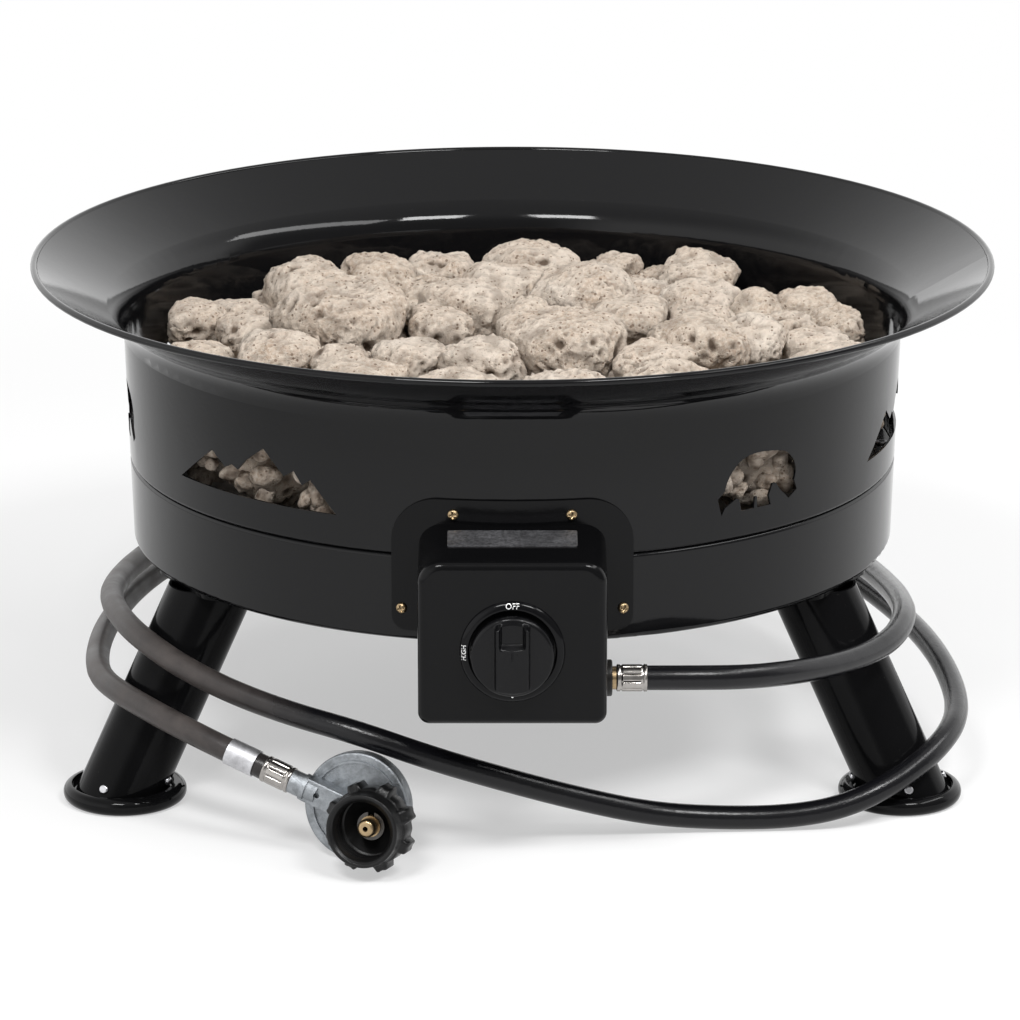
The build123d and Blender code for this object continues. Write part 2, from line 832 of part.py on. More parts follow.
def ferrule(plane):
    """A crimped sleeve on the hose's end, standing on a plane with the hose beyond it."""
    solid = extrude(Circle(ferrule_radius), ferrule_length)
    for height in (0.25, 0.5, 0.75):
        ring = Cylinder(ferrule_radius + 1, 1.4) - Cylinder(ferrule_radius - 0.5, 1.4)
        solid -= Pos(0, 0, ferrule_length * height) * ring
    return plane * (solid - Cylinder(2.5, 4 * ferrule_length))


def inlet_ferrule():
    origin = (inlet_end(), -inlet_distance, inlet_height)
    return ferrule(Plane(origin=origin, x_dir=(0, 1, 0), z_dir=(1, 0, 0)))


# Regulator


def regulator_frame():
    """The regulator stands on its rim, turned a little left and leaning back a little."""
    turn = radians(regulator_turn)
    lean = radians(regulator_lean)
    w = Vector(-sin(turn) * cos(lean), -cos(turn) * cos(lean), sin(lean))
    u = Vector(cos(turn), -sin(turn), 0)
    height = disc_radius * cos(lean) + disc_rim * sin(lean) + seat_gap
    return Plane(origin=(*regulator_place, height), x_dir=u, z_dir=w)


def placed(solid):
    return regulator_frame() * solid


def outlet_direction():
    a = radians(outlet_turn)
    return (-cos(a), sin(a))


def outlet_point(reach):
    """A point on the outlet's axis, in the regulator's own frame."""
    a, b = outlet_direction()
    return (reach * a, reach * b, outlet_height)


def outlet_rod(start, end, radius):
    return rod(outlet_point(start), outlet_point(end), radius)


def nut_centre():
    a, b = outlet_direction()
    return Pos(-nut_offset * a, -nut_offset * b, 0)


def stacked(radius, low, high):
    """A cylinder along w between two heights in the regulator's own frame."""
    return Pos(0, 0, low) * Cylinder(radius, high - low, align=(Align.CENTER, Align.CENTER, Align.MIN))


def regulator_body():
    body = stacked(disc_radius, -disc_rim, 0)
    body = fillet(body.edges().group_by(Axis.Z)[-1], 1.5)
    body += stacked(disc_radius - 5, 0, 1.2) - stacked(disc_radius - 6.2, 0, 1.3)
    bar = Rot(0, 0, 180 - outlet_turn) * block((-nut_offset, outlet_reach - 10), (-7.5, 7.5), (-1, outlet_height + 5.5))
    body += fillet(bar.edges().group_by(Axis.Z)[-1], 1.2)
    body += outlet_rod(outlet_reach - 18, outlet_reach, outlet_radius)
    body += outlet_rod(outlet_reach - 11, outlet_reach - 8, outlet_radius + 1)
    body += nut_centre() * stacked(boss_radius, -1, boss_height)
    body -= nut_centre() * stacked(boss_radius + 0.1, boss_height, boss_height + 5)
    body -= stacked(disc_radius - 6, -disc_rim - 1, -disc_rim + 4)
    body -= outlet_rod(0, outlet_reach + 1, 2.5)
    body -= nut_centre() * stacked(5.05, 3, boss_height + 1)
    vent = outlet_point(22)
    return placed(body - Pos(vent[0], vent[1], outlet_height + 5.5) * Cylinder(1.7, 6))


def regulator_cover():
    low = -disc_rim - 0.8
    top = Pos(0, 0, low) * Circle(cover_radius)
    bottom = Pos(0, 0, low - cover_depth) * Circle(cover_radius - 5)
    cover = loft([bottom, top], ruled=True)
    cover += stacked(cover_radius + 0.4, low - 2.5, low)
    inner = Pos(0, 0, low - cover_depth + 2) * Circle(cover_radius - 7)
    outer = Pos(0, 0, low + 0.01) * Circle(cover_radius - 2.5)
    cover -= loft([inner, outer], ruled=True)
    cover += stacked(8, low - cover_depth - 2.5, low - cover_depth)
    return placed(cover)


def regulator_diaphragm():
    return placed(stacked(cover_radius - 0.5, -disc_rim - 0.8, -disc_rim))


def regulator_spring():
    """The spring behind the diaphragm, as a helix."""
    wire = 0.7
    low = -disc_rim - 0.8 - cover_depth + 2 + wire + seat_gap
    high = -disc_rim - 0.8 - wire - seat_gap
    path = Helix((high - low) / 4, high - low, 8)
    coil = sweep(Plane(origin=path @ 0, z_dir=path % 0) * Circle(wire), path)
    return placed(Pos(0, 0, low) * coil)


def inlet_nipple():
    """Screwed into the boss: a base flange, a neck that the nut turns on, and a rounded nose."""
    nipple = stacked(5, boss_height - 7, boss_height)
    nipple += stacked(nipple_base_radius, boss_height, nut_back + 2)
    nipple += stacked(nipple_neck_radius, nut_back + 2, nut_back + 8.5)
    nose = stacked(nipple_radius, nut_back + 8.5, nipple_tip)
    nipple += fillet(nose.edges().group_by(Axis.Z)[-1], 2.5)
    nipple -= stacked(nipple_neck_radius + 1, nut_back + 6, nut_back + 7.2) - stacked(5.2, nut_back + 5, nut_back + 8)
    nipple -= stacked(1.6, boss_height - 8, nipple_tip + 1)
    return placed(nut_centre() * nipple)


def nipple_clip():
    """A spring clip in the nipple's groove that keeps the nut on."""
    clip = stacked(8.6, nut_back + 6.1, nut_back + 7.1) - stacked(5.3, nut_back + 5, nut_back + 8)
    clip -= Pos(0, 6, nut_back + 6.6) * Box(4, 8, 4)
    return placed(nut_centre() * clip)


def coupling_nut():
    shoulder = nut_front - 7.5
    nut = stacked(nut_body_radius, nut_back, shoulder - 2.5)
    cone_low = Pos(0, 0, shoulder - 2.5) * Circle(nut_body_radius - 1)
    cone_high = Pos(0, 0, shoulder) * Circle(nut_collar_radius)
    nut += loft([cone_low, cone_high], ruled=True)
    nut += stacked(nut_collar_radius, shoulder, nut_front)
    for k in range(nut_lobes):
        centre = Rot(0, 0, 360 / nut_lobes * (k + 0.5)) * Pos(nut_lobe_reach - nut_lobe_radius, 0, 0)
        nut += centre * stacked(nut_lobe_radius, nut_back, shoulder - 2.5)
    nut = nut - stacked(nut_thread_radius, nut_back + 6, nut_front + 1)
    for k in range(3):
        groove = nut_front - 3.5 - nut_thread_pitch * k
        nut -= stacked(nut_thread_radius + nut_thread_depth, groove - nut_thread_pitch / 2, groove)
    nut -= stacked(nipple_neck_radius + 0.3, nut_back, nut_back + 7)
    nut -= stacked(nipple_base_radius + 0.8, nut_back - 1, nut_back + 2.3)
    nut -= stacked(9.4, nut_back + 5.8, nut_back + 6.5)
    return placed(nut_centre() * nut)


def outlet_ferrule():
    frame = regulator_frame()
    start = frame.from_local_coords(outlet_point(outlet_reach))
    beyond = frame.from_local_coords(outlet_point(outlet_reach + 1))
    return ferrule(Plane(origin=start, z_dir=beyond - start))


def hose_sleeve():
    start = outlet_reach + ferrule_length + sleeve_gap
    end = start + sleeve_length
    sleeve = outlet_rod(start, end, hose_radius + sleeve_wall)
    return placed(sleeve - outlet_rod(start - 1, end + 1, hose_radius + 0.1))


# Hose


def hose_points():
    """From the inlet ferrule, nearly twice round the legs, to the regulator's ferrule."""
    first = inlet_end() + ferrule_length
    frame = regulator_frame()
    last = frame.from_local_coords(outlet_point(outlet_reach + ferrule_length))
    before = frame.from_local_coords(outlet_point(outlet_reach + ferrule_length + hose_last_run))
    points = [
        (first, -inlet_distance, inlet_height), (first + 29, -inlet_distance, inlet_height),
        (140, -254, 118), (168, -231, 113), (194, -203, 108), (218, -173, 105), (237, -142, 106), (247, -103, 108),
        (246, -54, 104), (241, -4, 98), (231, 50, 93), (212, 110, 89), (182, 170, 87), (138, 226, 87),
        (86, 270, 87), (30, 294, 87), (-32, 294, 87), (-92, 270, 87), (-150, 226, 87), (-198, 174, 88),
        (-232, 120, 88), (-251, 66, 88), (-257, 14, 93), (-257, -38, 101), (-250, -90, 107),
        (-234, -140, 108), (-206, -176, 100), (-172, -199, 90), (-134, -218, 82), (-94, -237, 77),
        (-50, -241, 62), (-6, -231, 45), (38, -218, 28), (84, -205, 13), (128, -199, 8), (170, -197, 8),
        (204, -196, 14), (234, -185, 25), (258, -163, 35), (274, -135, 42), (281, -102, 45), (281, -66, 49),
        (275, -20, 54),
        (264, 32, 56), (248, 84, 57), (227, 136, 59), (196, 188, 61), (152, 238, 62), (98, 284, 63),
        (34, 312, 64), (-34, 314, 64), (-98, 290, 65), (-152, 248, 66), (-197, 196, 66), (-230, 142, 66),
        (-249, 88, 66), (-259, 34, 67), (-264, -20, 69), (-264, -74, 71), (-258, -124, 74), (-239, -167, 76),
    ]
    return [Vector(*p) for p in points] + [before, last]


def hose_radii(points):
    radii = []
    for before, here, after in zip(points, points[1:], points[2:]):
        shorter = min((here - before).length, (after - here).length)
        half_turn = radians((here - before).get_angle(after - here)) / 2
        radii.append(0.45 * shorter / tan(half_turn))
    return radii


def gas_hose():
    points = hose_points()
    radii = hose_radii(points)
    path = FilletPolyline(*points, radius=radii)
    start = Plane(origin=points[0], z_dir=points[1] - points[0])
    hose = sweep(start * Circle(hose_radius), path)
    print("hose radii", [round(r) for r in radii])
    expected = pi * hose_radius ** 2 * path.length
    print("hose length", round(path.length), "volume over expected", round(hose.volume / expected, 5))
    for point in points[-2:]:
        print("hose end", round(point.X, 1), round(point.Y, 1), round(point.Z, 1))
    return hose


# Rocks. Each is a ball with a rough skin, cut off where its neighbours begin, so that they lie
# against each other without meeting. Places, with heights above the seam, and half sizes follow the heap.

rock_seed = 7
rock_swell_top = 0.9
top_rocks = [
    (-204, 76, 64, 27, 18), (-172, 44, 64, 20, 12), (-148, -40, 71, 25, 15), (-134, 114, 75, 28, 27),
    (-90, 132, 79, 24, 19), (-108, 14, 78, 42, 26), (-104, -60, 69, 16, 14), (-50, 184, 73, 20, 13),
    (-54, 108, 73, 22, 16), (-62, -70, 77, 23, 12), (-48, 14, 74, 18, 13), (-5, 124, 77, 26, 18),
    (-30, 50, 79, 21, 19), (-18, -100, 82, 24, 16), (10, 172, 76, 25, 17), (8, 26, 77, 12, 16),
    (48, 84, 79, 29, 24), (28, -22, 75, 20, 13), (32, -66, 85, 39, 20), (71, 202, 71, 16, 13),
    (119, 172, 72, 28, 18), (88, 120, 70, 18, 12), (122, 88, 73, 28, 17), (82, 24, 77, 24, 14),
    (88, -92, 79, 23, 11), (116, -56, 82, 27, 16), (117, 18, 73, 23, 14), (158, 68, 70, 15, 18),
    (172, 120, 60, 14, 13), (152, -18, 74, 19, 15), (191, 94, 70, 15, 13), (210, 52, 66, 18, 14),
    (192, -12, 67, 20, 13), (178, 32, 70, 15, 11),
]


def all_rocks():
    """The hand-placed top rocks, then rings of others under and around them."""
    rocks = list(top_rocks)
    for azimuth in range(-54, 55, 18):
        rocks.append((205 * sin(radians(azimuth)), -205 * cos(radians(azimuth)), 61, 31, 21))
    for azimuth in (-38, -13, 13, 38):
        rocks.append((152 * sin(radians(azimuth)), -152 * cos(radians(azimuth)), 69, 30, 20))
    for azimuth in (78, 282):
        rocks.append((207 * sin(radians(azimuth)), -207 * cos(radians(azimuth)), 59, 28, 20))
    for azimuth in (128, 152, 176, 200, 224, 244):
        rocks.append((208 * sin(radians(azimuth)), -208 * cos(radians(azimuth)), 55, 34, 20))
    top_count = len(rocks)
    for azimuth in range(0, 360, 18):
        rocks.append((208 * sin(radians(azimuth + 9)), -208 * cos(radians(azimuth + 9)), 27, 36, 24))
    for ring, count in ((141.5, 13), (77, 7)):
        for k in range(count):
            azimuth = radians(360 / count * k)
            rocks.append((ring * sin(azimuth), -ring * cos(azimuth), 33, 40, 26))
    rocks.append((0, 0, 35, 40, 24))
    return [(x, y, seam_height + lift, across, tall) for x, y, lift, across, tall in rocks], top_count


def ball_mesh(split):
    """Unit vectors and triangles of an icosahedron, with each triangle split in four if asked."""
    g = (1 + sqrt(5)) / 2
    corners = []
    for a in (-1, 1):
        for b in (-g, g):
            corners += [(0, a, b), (a, b, 0), (b, 0, a)]
    points = [Vector(*c).normalized() for c in corners]
    near = 2 / sqrt(1 + g * g) * 1.01
    triangles = []
    for i in range(12):
        for j in range(i + 1, 12):
            for k in range(j + 1, 12):
                a, b, c = points[i], points[j], points[k]
                if max((a - b).length, (b - c).length, (c - a).length) < near:
                    outward = (b - a).cross(c - a).dot(a) > 0
                    triangles.append((i, j, k) if outward else (i, k, j))
    if not split:
        return points, triangles
    middle = {}
    smaller = []

    def midpoint(i, j):
        key = (min(i, j), max(i, j))
        if key not in middle:
            middle[key] = len(points)
            points.append((points[i] + points[j]).normalized())
        return middle[key]

    for i, j, k in triangles:
        a, b, c = midpoint(i, j), midpoint(j, k), midpoint(k, i)
        smaller += [(i, a, c), (a, j, b), (c, b, k), (a, b, c)]
    return points, smaller


def ellipsoid_radius(direction, across, tall):
    flat = direction.X ** 2 + direction.Y ** 2
    return 1 / sqrt(flat / across ** 2 + direction.Z ** 2 / tall ** 2)


def rock_limits(index, rocks):
    """Planes that end a rock's own space: neighbours, the wall, the tray and the burner."""
    x, y, z, across, tall = rocks[index]
    here = Vector(x, y, z)
    limits = []
    for other, (ox, oy, oz, other_across, other_tall) in enumerate(rocks):
        towards = Vector(ox, oy, oz) - here
        distance = towards.length
        if other == index or distance > 140:
            continue
        along = towards.normalized()
        mine = ellipsoid_radius(along, across, tall)
        theirs = ellipsoid_radius(along, other_across, other_tall)
        limits.append((along, distance * mine / (mine + theirs) - rock_gap / 2))
    floor = burner_height() + burner_tube_radius + rock_gap
    if sqrt(x * x + y * y) > burner_radius + 60:
        floor = seam_height + 2 * sheet + rock_gap
    limits.append((Vector(0, 0, -1), z - floor))
    return limits


def rock_fill(limits, across, tall, margin):
    """How much a rock swells so that it meets its four nearest neighbours."""
    wanted = sorted(distance / ellipsoid_radius(normal, across, tall) for normal, distance in limits)
    return max(1.12, wanted[3] * margin)


def rock_radius(here, direction, limits, wished):
    """How far the skin lies from the middle in one direction."""
    reach = wished
    for normal, distance in limits:
        lean = normal.dot(direction)
        if lean > 0.001:
            reach = min(reach, distance / lean)
    wall = wall_radius(motif_base()) - sheet - rock_wall_gap
    flat = sqrt(direction.X ** 2 + direction.Y ** 2)
    if flat > 0.01:
        b = (here.X * direction.X + here.Y * direction.Y) / flat
        to_wall = -b + sqrt(b * b + wall * wall - here.X ** 2 - here.Y ** 2)
        reach = min(reach, to_wall / flat)
    return reach


def rock(index, rocks, split):
    x, y, z, across, tall = rocks[index]
    chance = random.Random(rock_seed + index)
    here = Vector(x, y, z)
    limits = rock_limits(index, rocks)
    directions, triangles = ball_mesh(split)
    turn = Rot(chance.uniform(0, 360), chance.uniform(0, 360), chance.uniform(0, 360))
    ripple = Vector(chance.uniform(-1, 1), chance.uniform(-1, 1), chance.uniform(-1, 1)).normalized()
    fill = rock_fill(limits, across, tall, 1.5 if split else 3.2)
    points = []
    for direction in directions:
        d = (turn * Pos(direction.X, direction.Y, direction.Z)).position
        rough = 1 + 0.08 * sin(5 * d.dot(ripple) + index) + chance.uniform(-0.07, 0.05)
        swell = 1 + (fill - 1) * min(1, max(0, rock_swell_top - d.Z))
        wished = swell * ellipsoid_radius(d, across, tall) * rough
        points.append(here + d * rock_radius(here, d, limits, wished))
    faces = [Face(Wire.make_polygon([points[a], points[b], points[c]], close=True)) for a, b, c in triangles]
    return Solid(Shell(faces))


def lava_rocks_top():
    rocks, top_count = all_rocks()
    return [rock(i, rocks, True) for i in range(top_count)]


def lava_rocks_bed():
    rocks, top_count = all_rocks()
    return [rock(i, rocks, False) for i in range(top_count, len(rocks))]


# Output


def pieces():
    made = {
        "fire_bowl": fire_bowl(), "base_pan": base_pan(), "rock_tray": rock_tray(),
        "seam_screws": seam_screws(), "seam_nuts": seam_nuts(),
        "ring_burner": ring_burner(), "burner_clips": burner_clips(), "clip_screws": clip_screws(),
        "mixer_tube": mixer_tube(), "mixer_strap": mixer_strap(), "strap_screws": strap_screws(),
        "lava_rocks_top": lava_rocks_top(), "lava_rocks_bed": lava_rocks_bed(),
        "foot_rivets": foot_rivets(), "leg_bolts": leg_bolts(), "leg_nuts": leg_nuts(),
        "control_box": control_box(), "box_plate": box_plate(),
        "box_screws": box_screws(), "box_nuts": box_nuts(),
        "dial_bezel": dial_bezel(), "knob": knob(),
        "valve_stem": valve_stem(), "valve_spring": valve_spring(), "valve_plug": valve_plug(),
        "valve_bonnet": valve_bonnet(), "bonnet_screws": bonnet_screws(), "valve_body": valve_body(),
        "valve_mount_screws": valve_mount_screws(), "orifice": orifice(),
        "inlet_fitting": inlet_fitting(), "inlet_locknut": inlet_locknut(), "inlet_ferrule": inlet_ferrule(),
        "gas_hose": gas_hose(), "hose_sleeve": hose_sleeve(), "outlet_ferrule": outlet_ferrule(),
        "regulator_body": regulator_body(), "regulator_cover": regulator_cover(),
        "regulator_diaphragm": regulator_diaphragm(), "regulator_spring": regulator_spring(),
        "inlet_nipple": inlet_nipple(), "nipple_clip": nipple_clip(), "coupling_nut": coupling_nut(),
    }
    for side, azimuth in leg_azimuths.items():
        made["leg_" + side] = leg(azimuth)
        made["foot_" + side] = foot(azimuth)
    return made


os.makedirs("parts", exist_ok=True)
for node, solid in pieces().items():
    if isinstance(solid, list):
        solid = Compound([part for item in solid for part in item.solids()])
    export_step(solid, "parts/" + node + ".step")
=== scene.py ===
import bpy
import bmesh
import json
import math
import random
from mathutils import Matrix, Vector, noise


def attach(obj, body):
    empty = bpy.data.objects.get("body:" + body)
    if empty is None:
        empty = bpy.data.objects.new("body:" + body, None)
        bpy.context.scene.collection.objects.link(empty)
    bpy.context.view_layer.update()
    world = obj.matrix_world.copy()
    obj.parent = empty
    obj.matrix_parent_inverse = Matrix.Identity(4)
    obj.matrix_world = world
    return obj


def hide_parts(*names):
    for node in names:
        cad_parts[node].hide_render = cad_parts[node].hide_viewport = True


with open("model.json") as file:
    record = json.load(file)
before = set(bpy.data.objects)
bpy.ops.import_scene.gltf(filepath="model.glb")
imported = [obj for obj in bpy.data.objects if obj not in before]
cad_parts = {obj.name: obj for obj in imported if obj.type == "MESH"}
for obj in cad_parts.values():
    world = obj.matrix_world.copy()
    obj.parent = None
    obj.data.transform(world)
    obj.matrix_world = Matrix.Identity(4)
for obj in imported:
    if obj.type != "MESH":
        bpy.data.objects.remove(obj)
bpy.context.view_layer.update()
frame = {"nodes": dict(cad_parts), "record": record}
cadNodes = frame["nodes"]
scene = bpy.context.scene
print("frame loaded:", len(cadNodes), "nodes")


# Camera, with a long lens and a little above the rim

cameraSet = {
    "place": (0.0, -3.2, 1.116),
    "lookDown": 16.87,
    "lens": 183.18,
    "sensor": 36.0,
    "shiftX": -0.00235,
}


def addCamera(s):
    data = bpy.data.cameras.new("viewCamera")
    data.lens = s["lens"]
    data.sensor_width = s["sensor"]
    data.shift_x = s["shiftX"]
    data.clip_end = 30
    camera = bpy.data.objects.new("viewCamera", data)
    camera.location = s["place"]
    camera.rotation_euler = (math.radians(90 - s["lookDown"]), 0, 0)
    scene.collection.objects.link(camera)
    scene.camera = camera


addCamera(cameraSet)


# Small helpers for meshes and pieces


def newPiece(name, mesh, material, body="stand", smooth=True):
    piece = bpy.data.objects.new(name, mesh)
    scene.collection.objects.link(piece)
    if material is not None:
        mesh.materials.clear()
        mesh.materials.append(material)
    if smooth:
        mesh.polygons.foreach_set("use_smooth", [True] * len(mesh.polygons))
    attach(piece, body)
    return piece


def evaluated(piece):
    # The piece's mesh with its modifiers applied
    graph = bpy.context.evaluated_depsgraph_get()
    return bpy.data.meshes.new_from_object(piece.evaluated_get(graph))


def meshFrom(name, points, faces):
    mesh = bpy.data.meshes.new(name)
    mesh.from_pydata([tuple(p) for p in points], [], faces)
    mesh.update()
    return mesh


def cadSolids(node):
    # The separate closed shapes in a copy of a CAD node
    shape = bmesh.new()
    shape.from_mesh(cadNodes[node].data)
    bmesh.ops.remove_doubles(shape, verts=shape.verts, dist=1e-6)
    shape.verts.index_update()
    seen = set()
    for first in shape.verts:
        if first in seen:
            continue
        seen.add(first)
        group, edge = [first], [first]
        while edge:
            vert = edge.pop()
            for link in vert.link_edges:
                other = link.other_vert(vert)
                if other not in seen:
                    seen.add(other)
                    group.append(other)
                    edge.append(other)
        order = sorted(group, key=lambda v: v.index)
        index = {v: i for i, v in enumerate(order)}
        faces = {f for v in order for f in v.link_faces}
        yield [v.co.copy() for v in order], sorted([index[v] for v in f.verts] for f in faces)
    shape.free()


# Shader node helpers


def newGroup(name, inputs, output):
    # A shader node group with float inputs and one float output
    group = bpy.data.node_groups.new(name, "ShaderNodeTree")
    for label, value in inputs.items():
        socket = group.interface.new_socket(name=label, in_out="INPUT", socket_type="NodeSocketFloat")
        socket.default_value = value
    group.interface.new_socket(name=output, in_out="OUTPUT", socket_type="NodeSocketFloat")
    enter, leave = group.nodes.new("NodeGroupInput"), group.nodes.new("NodeGroupOutput")
    return group, enter.outputs, leave.inputs[output]


def addNode(tree, kind, links=(), **values):
    # Plain values go by socket name, links as (socket, source). A set_ value is the node's own setting
    node = tree.nodes.new(kind)
    for key, value in values.items():
        if key.startswith("set_"):
            setattr(node, key[4:], value)
        else:
            node.inputs[key.replace("_", " ")].default_value = value
    for socket, source in links:
        tree.links.new(source, node.inputs[socket])
    return node


def feed(tree, socket, value):
    # Gives a socket a plain number or another node's output
    if isinstance(value, float):
        socket.default_value = value
    else:
        tree.links.new(value, socket)


def combine(tree, kind, first, second):
    node = addNode(tree, "ShaderNodeMath", set_operation=kind)
    feed(tree, node.inputs[0], first)
    feed(tree, node.inputs[1], second)
    return node.outputs[0]


def ramp(tree, source, span, ends=(0.0, 1.0), kind="LINEAR"):
    # Carries the source's span over to the two ends
    node = addNode(tree, "ShaderNodeMapRange", [("Value", source)], set_interpolation_type=kind,
                   From_Min=span[0], From_Max=span[1])
    feed(tree, node.inputs["To Min"], ends[0])
    feed(tree, node.inputs["To Max"], ends[1])
    return node.outputs["Result"]


def onObject(tree, kind, links=(), **values):
    # A texture laid out by the object's own coordinates
    where = addNode(tree, "ShaderNodeTexCoord")
    return addNode(tree, kind, [("Vector", where.outputs["Object"]), *links], **values)


def noiseOn(tree, links=(), **values):
    return onObject(tree, "ShaderNodeTexNoise", links, **values).outputs["Fac"]


def cellsOn(tree, links=(), **values):
    return onObject(tree, "ShaderNodeTexVoronoi", links, **values).outputs["Distance"]


def newMaterial(name, color, roughness, metallic=0.0):
    material = bpy.data.materials.new(name)
    material.use_nodes = True
    material.diffuse_color = (*color, 1)
    shader = material.node_tree.nodes["Principled BSDF"]
    shader.inputs["Base Color"].default_value = (*color, 1)
    shader.inputs["Roughness"].default_value = roughness
    shader.inputs["Metallic"].default_value = metallic
    return material, material.node_tree, shader


def makeSmudges():
    # Soft uneven roughness, as hands and dust leave it on paint
    group, enter, leave = newGroup("smudges", {"Scale": 9.0, "Low": 0.1, "High": 0.25}, "Roughness")
    wide = noiseOn(group, [("Scale", enter["Scale"])], Detail=5.0, Roughness=0.6, Distortion=0.4)
    group.links.new(ramp(group, wide, (0.3, 0.72), (enter["Low"], enter["High"])), leave)
    return group


def makeSpecks():
    # Scattered small specks, as dust lies on black paint and rubber
    group, enter, leave = newGroup("specks", {"Scale": 400.0, "Share": 0.1}, "Mask")
    fine = cellsOn(group, [("Scale", enter["Scale"])])
    patch = noiseOn(group, Scale=24.0, Detail=3.0)
    reach = combine(group, "MULTIPLY", patch, enter["Share"])
    group.links.new(combine(group, "LESS_THAN", fine, reach), leave)
    return group


def makeSkin():
    # A fine uneven skin: orange peel on paint, grain on a casting or moulding
    group, enter, leave = newGroup("skin", {"Scale": 300.0, "Wave": 20.0, "Wave Share": 0.5}, "Height")
    fine = noiseOn(group, [("Scale", enter["Scale"])], Detail=3.0, Roughness=0.55)
    wave = noiseOn(group, [("Scale", enter["Wave"])], Detail=2.0)
    part = combine(group, "MULTIPLY", wave, enter["Wave Share"])
    group.links.new(combine(group, "ADD", fine, part), leave)
    return group


smudges = makeSmudges()
specks = makeSpecks()
skin = makeSkin()


def place(tree, group, values):
    # Puts a node group in a material and returns what comes out of it
    node = tree.nodes.new("ShaderNodeGroup")
    node.node_tree = group
    for label, value in values.items():
        node.inputs[label].default_value = value
    return node.outputs[0]


def addSmudges(tree, shader, scale, low, high):
    rough = place(tree, smudges, {"Scale": scale, "Low": low, "High": high})
    tree.links.new(rough, shader.inputs["Roughness"])


def addBump(tree, shader, height, distance):
    bump = addNode(tree, "ShaderNodeBump", [("Height", height)], Distance=distance, Strength=1.0)
    tree.links.new(bump.outputs["Normal"], shader.inputs["Normal"])


def mixColors(tree, mask, first, second):
    mix = tree.nodes.new("ShaderNodeMix")
    mix.data_type = "RGBA"
    for socket, value in (("A", first), ("B", second)):
        target = [i for i in mix.inputs if i.name == socket and i.type == "RGBA"][0]
        if isinstance(value, tuple):
            target.default_value = (*value, 1)
        else:
            tree.links.new(value, target)
    tree.links.new(mask, mix.inputs[0])
    return [o for o in mix.outputs if o.type == "RGBA"][0]


def mixValues(tree, mask, first, second):
    mix = tree.nodes.new("ShaderNodeMix")
    for socket, value in zip((0, 2, 3), (mask, first, second)):
        feed(tree, mix.inputs[socket], value)
    return mix.outputs[0]


# Finishes. Each is given its colour, its lowest and highest roughness and the height of its skin

paint = {
    "smudges": 7.0,
    "specks": {"Scale": 520.0, "Share": 0.05},
    "dust": (0.16, 0.15, 0.14),
    "skin": {"Scale": 260.0, "Wave": 16.0, "Wave Share": 5.0},
}
plastic = {
    "smudges": 30.0,
    "specks": {"Scale": 900.0, "Share": 0.12},
    "paler": 0.08,
    "skin": {"Scale": 1800.0, "Wave": 60.0, "Wave Share": 0.4},
}
metal = {
    "smudges": 60.0,
    "patchSpan": (0.36, 0.64),
    "skin": {"Scale": 1500.0, "Wave": 120.0, "Wave Share": 0.6},
}


def makeCoat(name, s, color, low, high, waviness, shine):
    # Paint or plastic with scattered dust
    material, tree, shader = newMaterial(name, color, low)
    shader.inputs["Specular IOR Level"].default_value = shine
    addSmudges(tree, shader, s["smudges"], low, high)
    dust = s["dust"] if "dust" in s else tuple(c + s["paler"] for c in color)
    dots = place(tree, specks, s["specks"])
    tree.links.new(mixColors(tree, dots, color, dust), shader.inputs["Base Color"])
    addBump(tree, shader, place(tree, skin, s["skin"]), waviness)
    return material


def makeMetal(name, color, low, high, grain, patchScale=90.0, fade=0.72):
    # Bare metal, faded in patches
    s = metal
    material, tree, shader = newMaterial(name, color, low, 1.0)
    addSmudges(tree, shader, s["smudges"], low, high)
    patch = noiseOn(tree, Scale=patchScale, Detail=5.0, Roughness=0.7)
    darker = tuple(c * fade for c in color)
    mask = ramp(tree, patch, s["patchSpan"])
    tree.links.new(mixColors(tree, mask, darker, color), shader.inputs["Base Color"])
    addBump(tree, shader, place(tree, skin, s["skin"]), grain)
    return material


pumice = {
    "color": (0.6, 0.5, 0.42),
    "roughness": 0.95,
    "shine": 0.25,
    "tones": ((0.57, 0.475, 0.385), (0.74, 0.655, 0.57)),
    "stain": {"color": (0.49, 0.375, 0.285), "span": (0.35, 0.7)},
    "grain": {"color": (0.70, 0.62, 0.53), "span": (0.40, 0.66)},
    "pores": {"scale": 520.0, "reach": 0.12, "depth": 0.35},
    "holes": {"scale": 230.0, "reach": 0.36, "depth": 0.3},
    # The two darkest colours below are painted shade, for pores and for pits, cracks and creases
    "paintedPoreShade": (0.27, 0.20, 0.15),
    "paintedPitShade": (0.13, 0.095, 0.07),
    "relief": 0.0020,
}


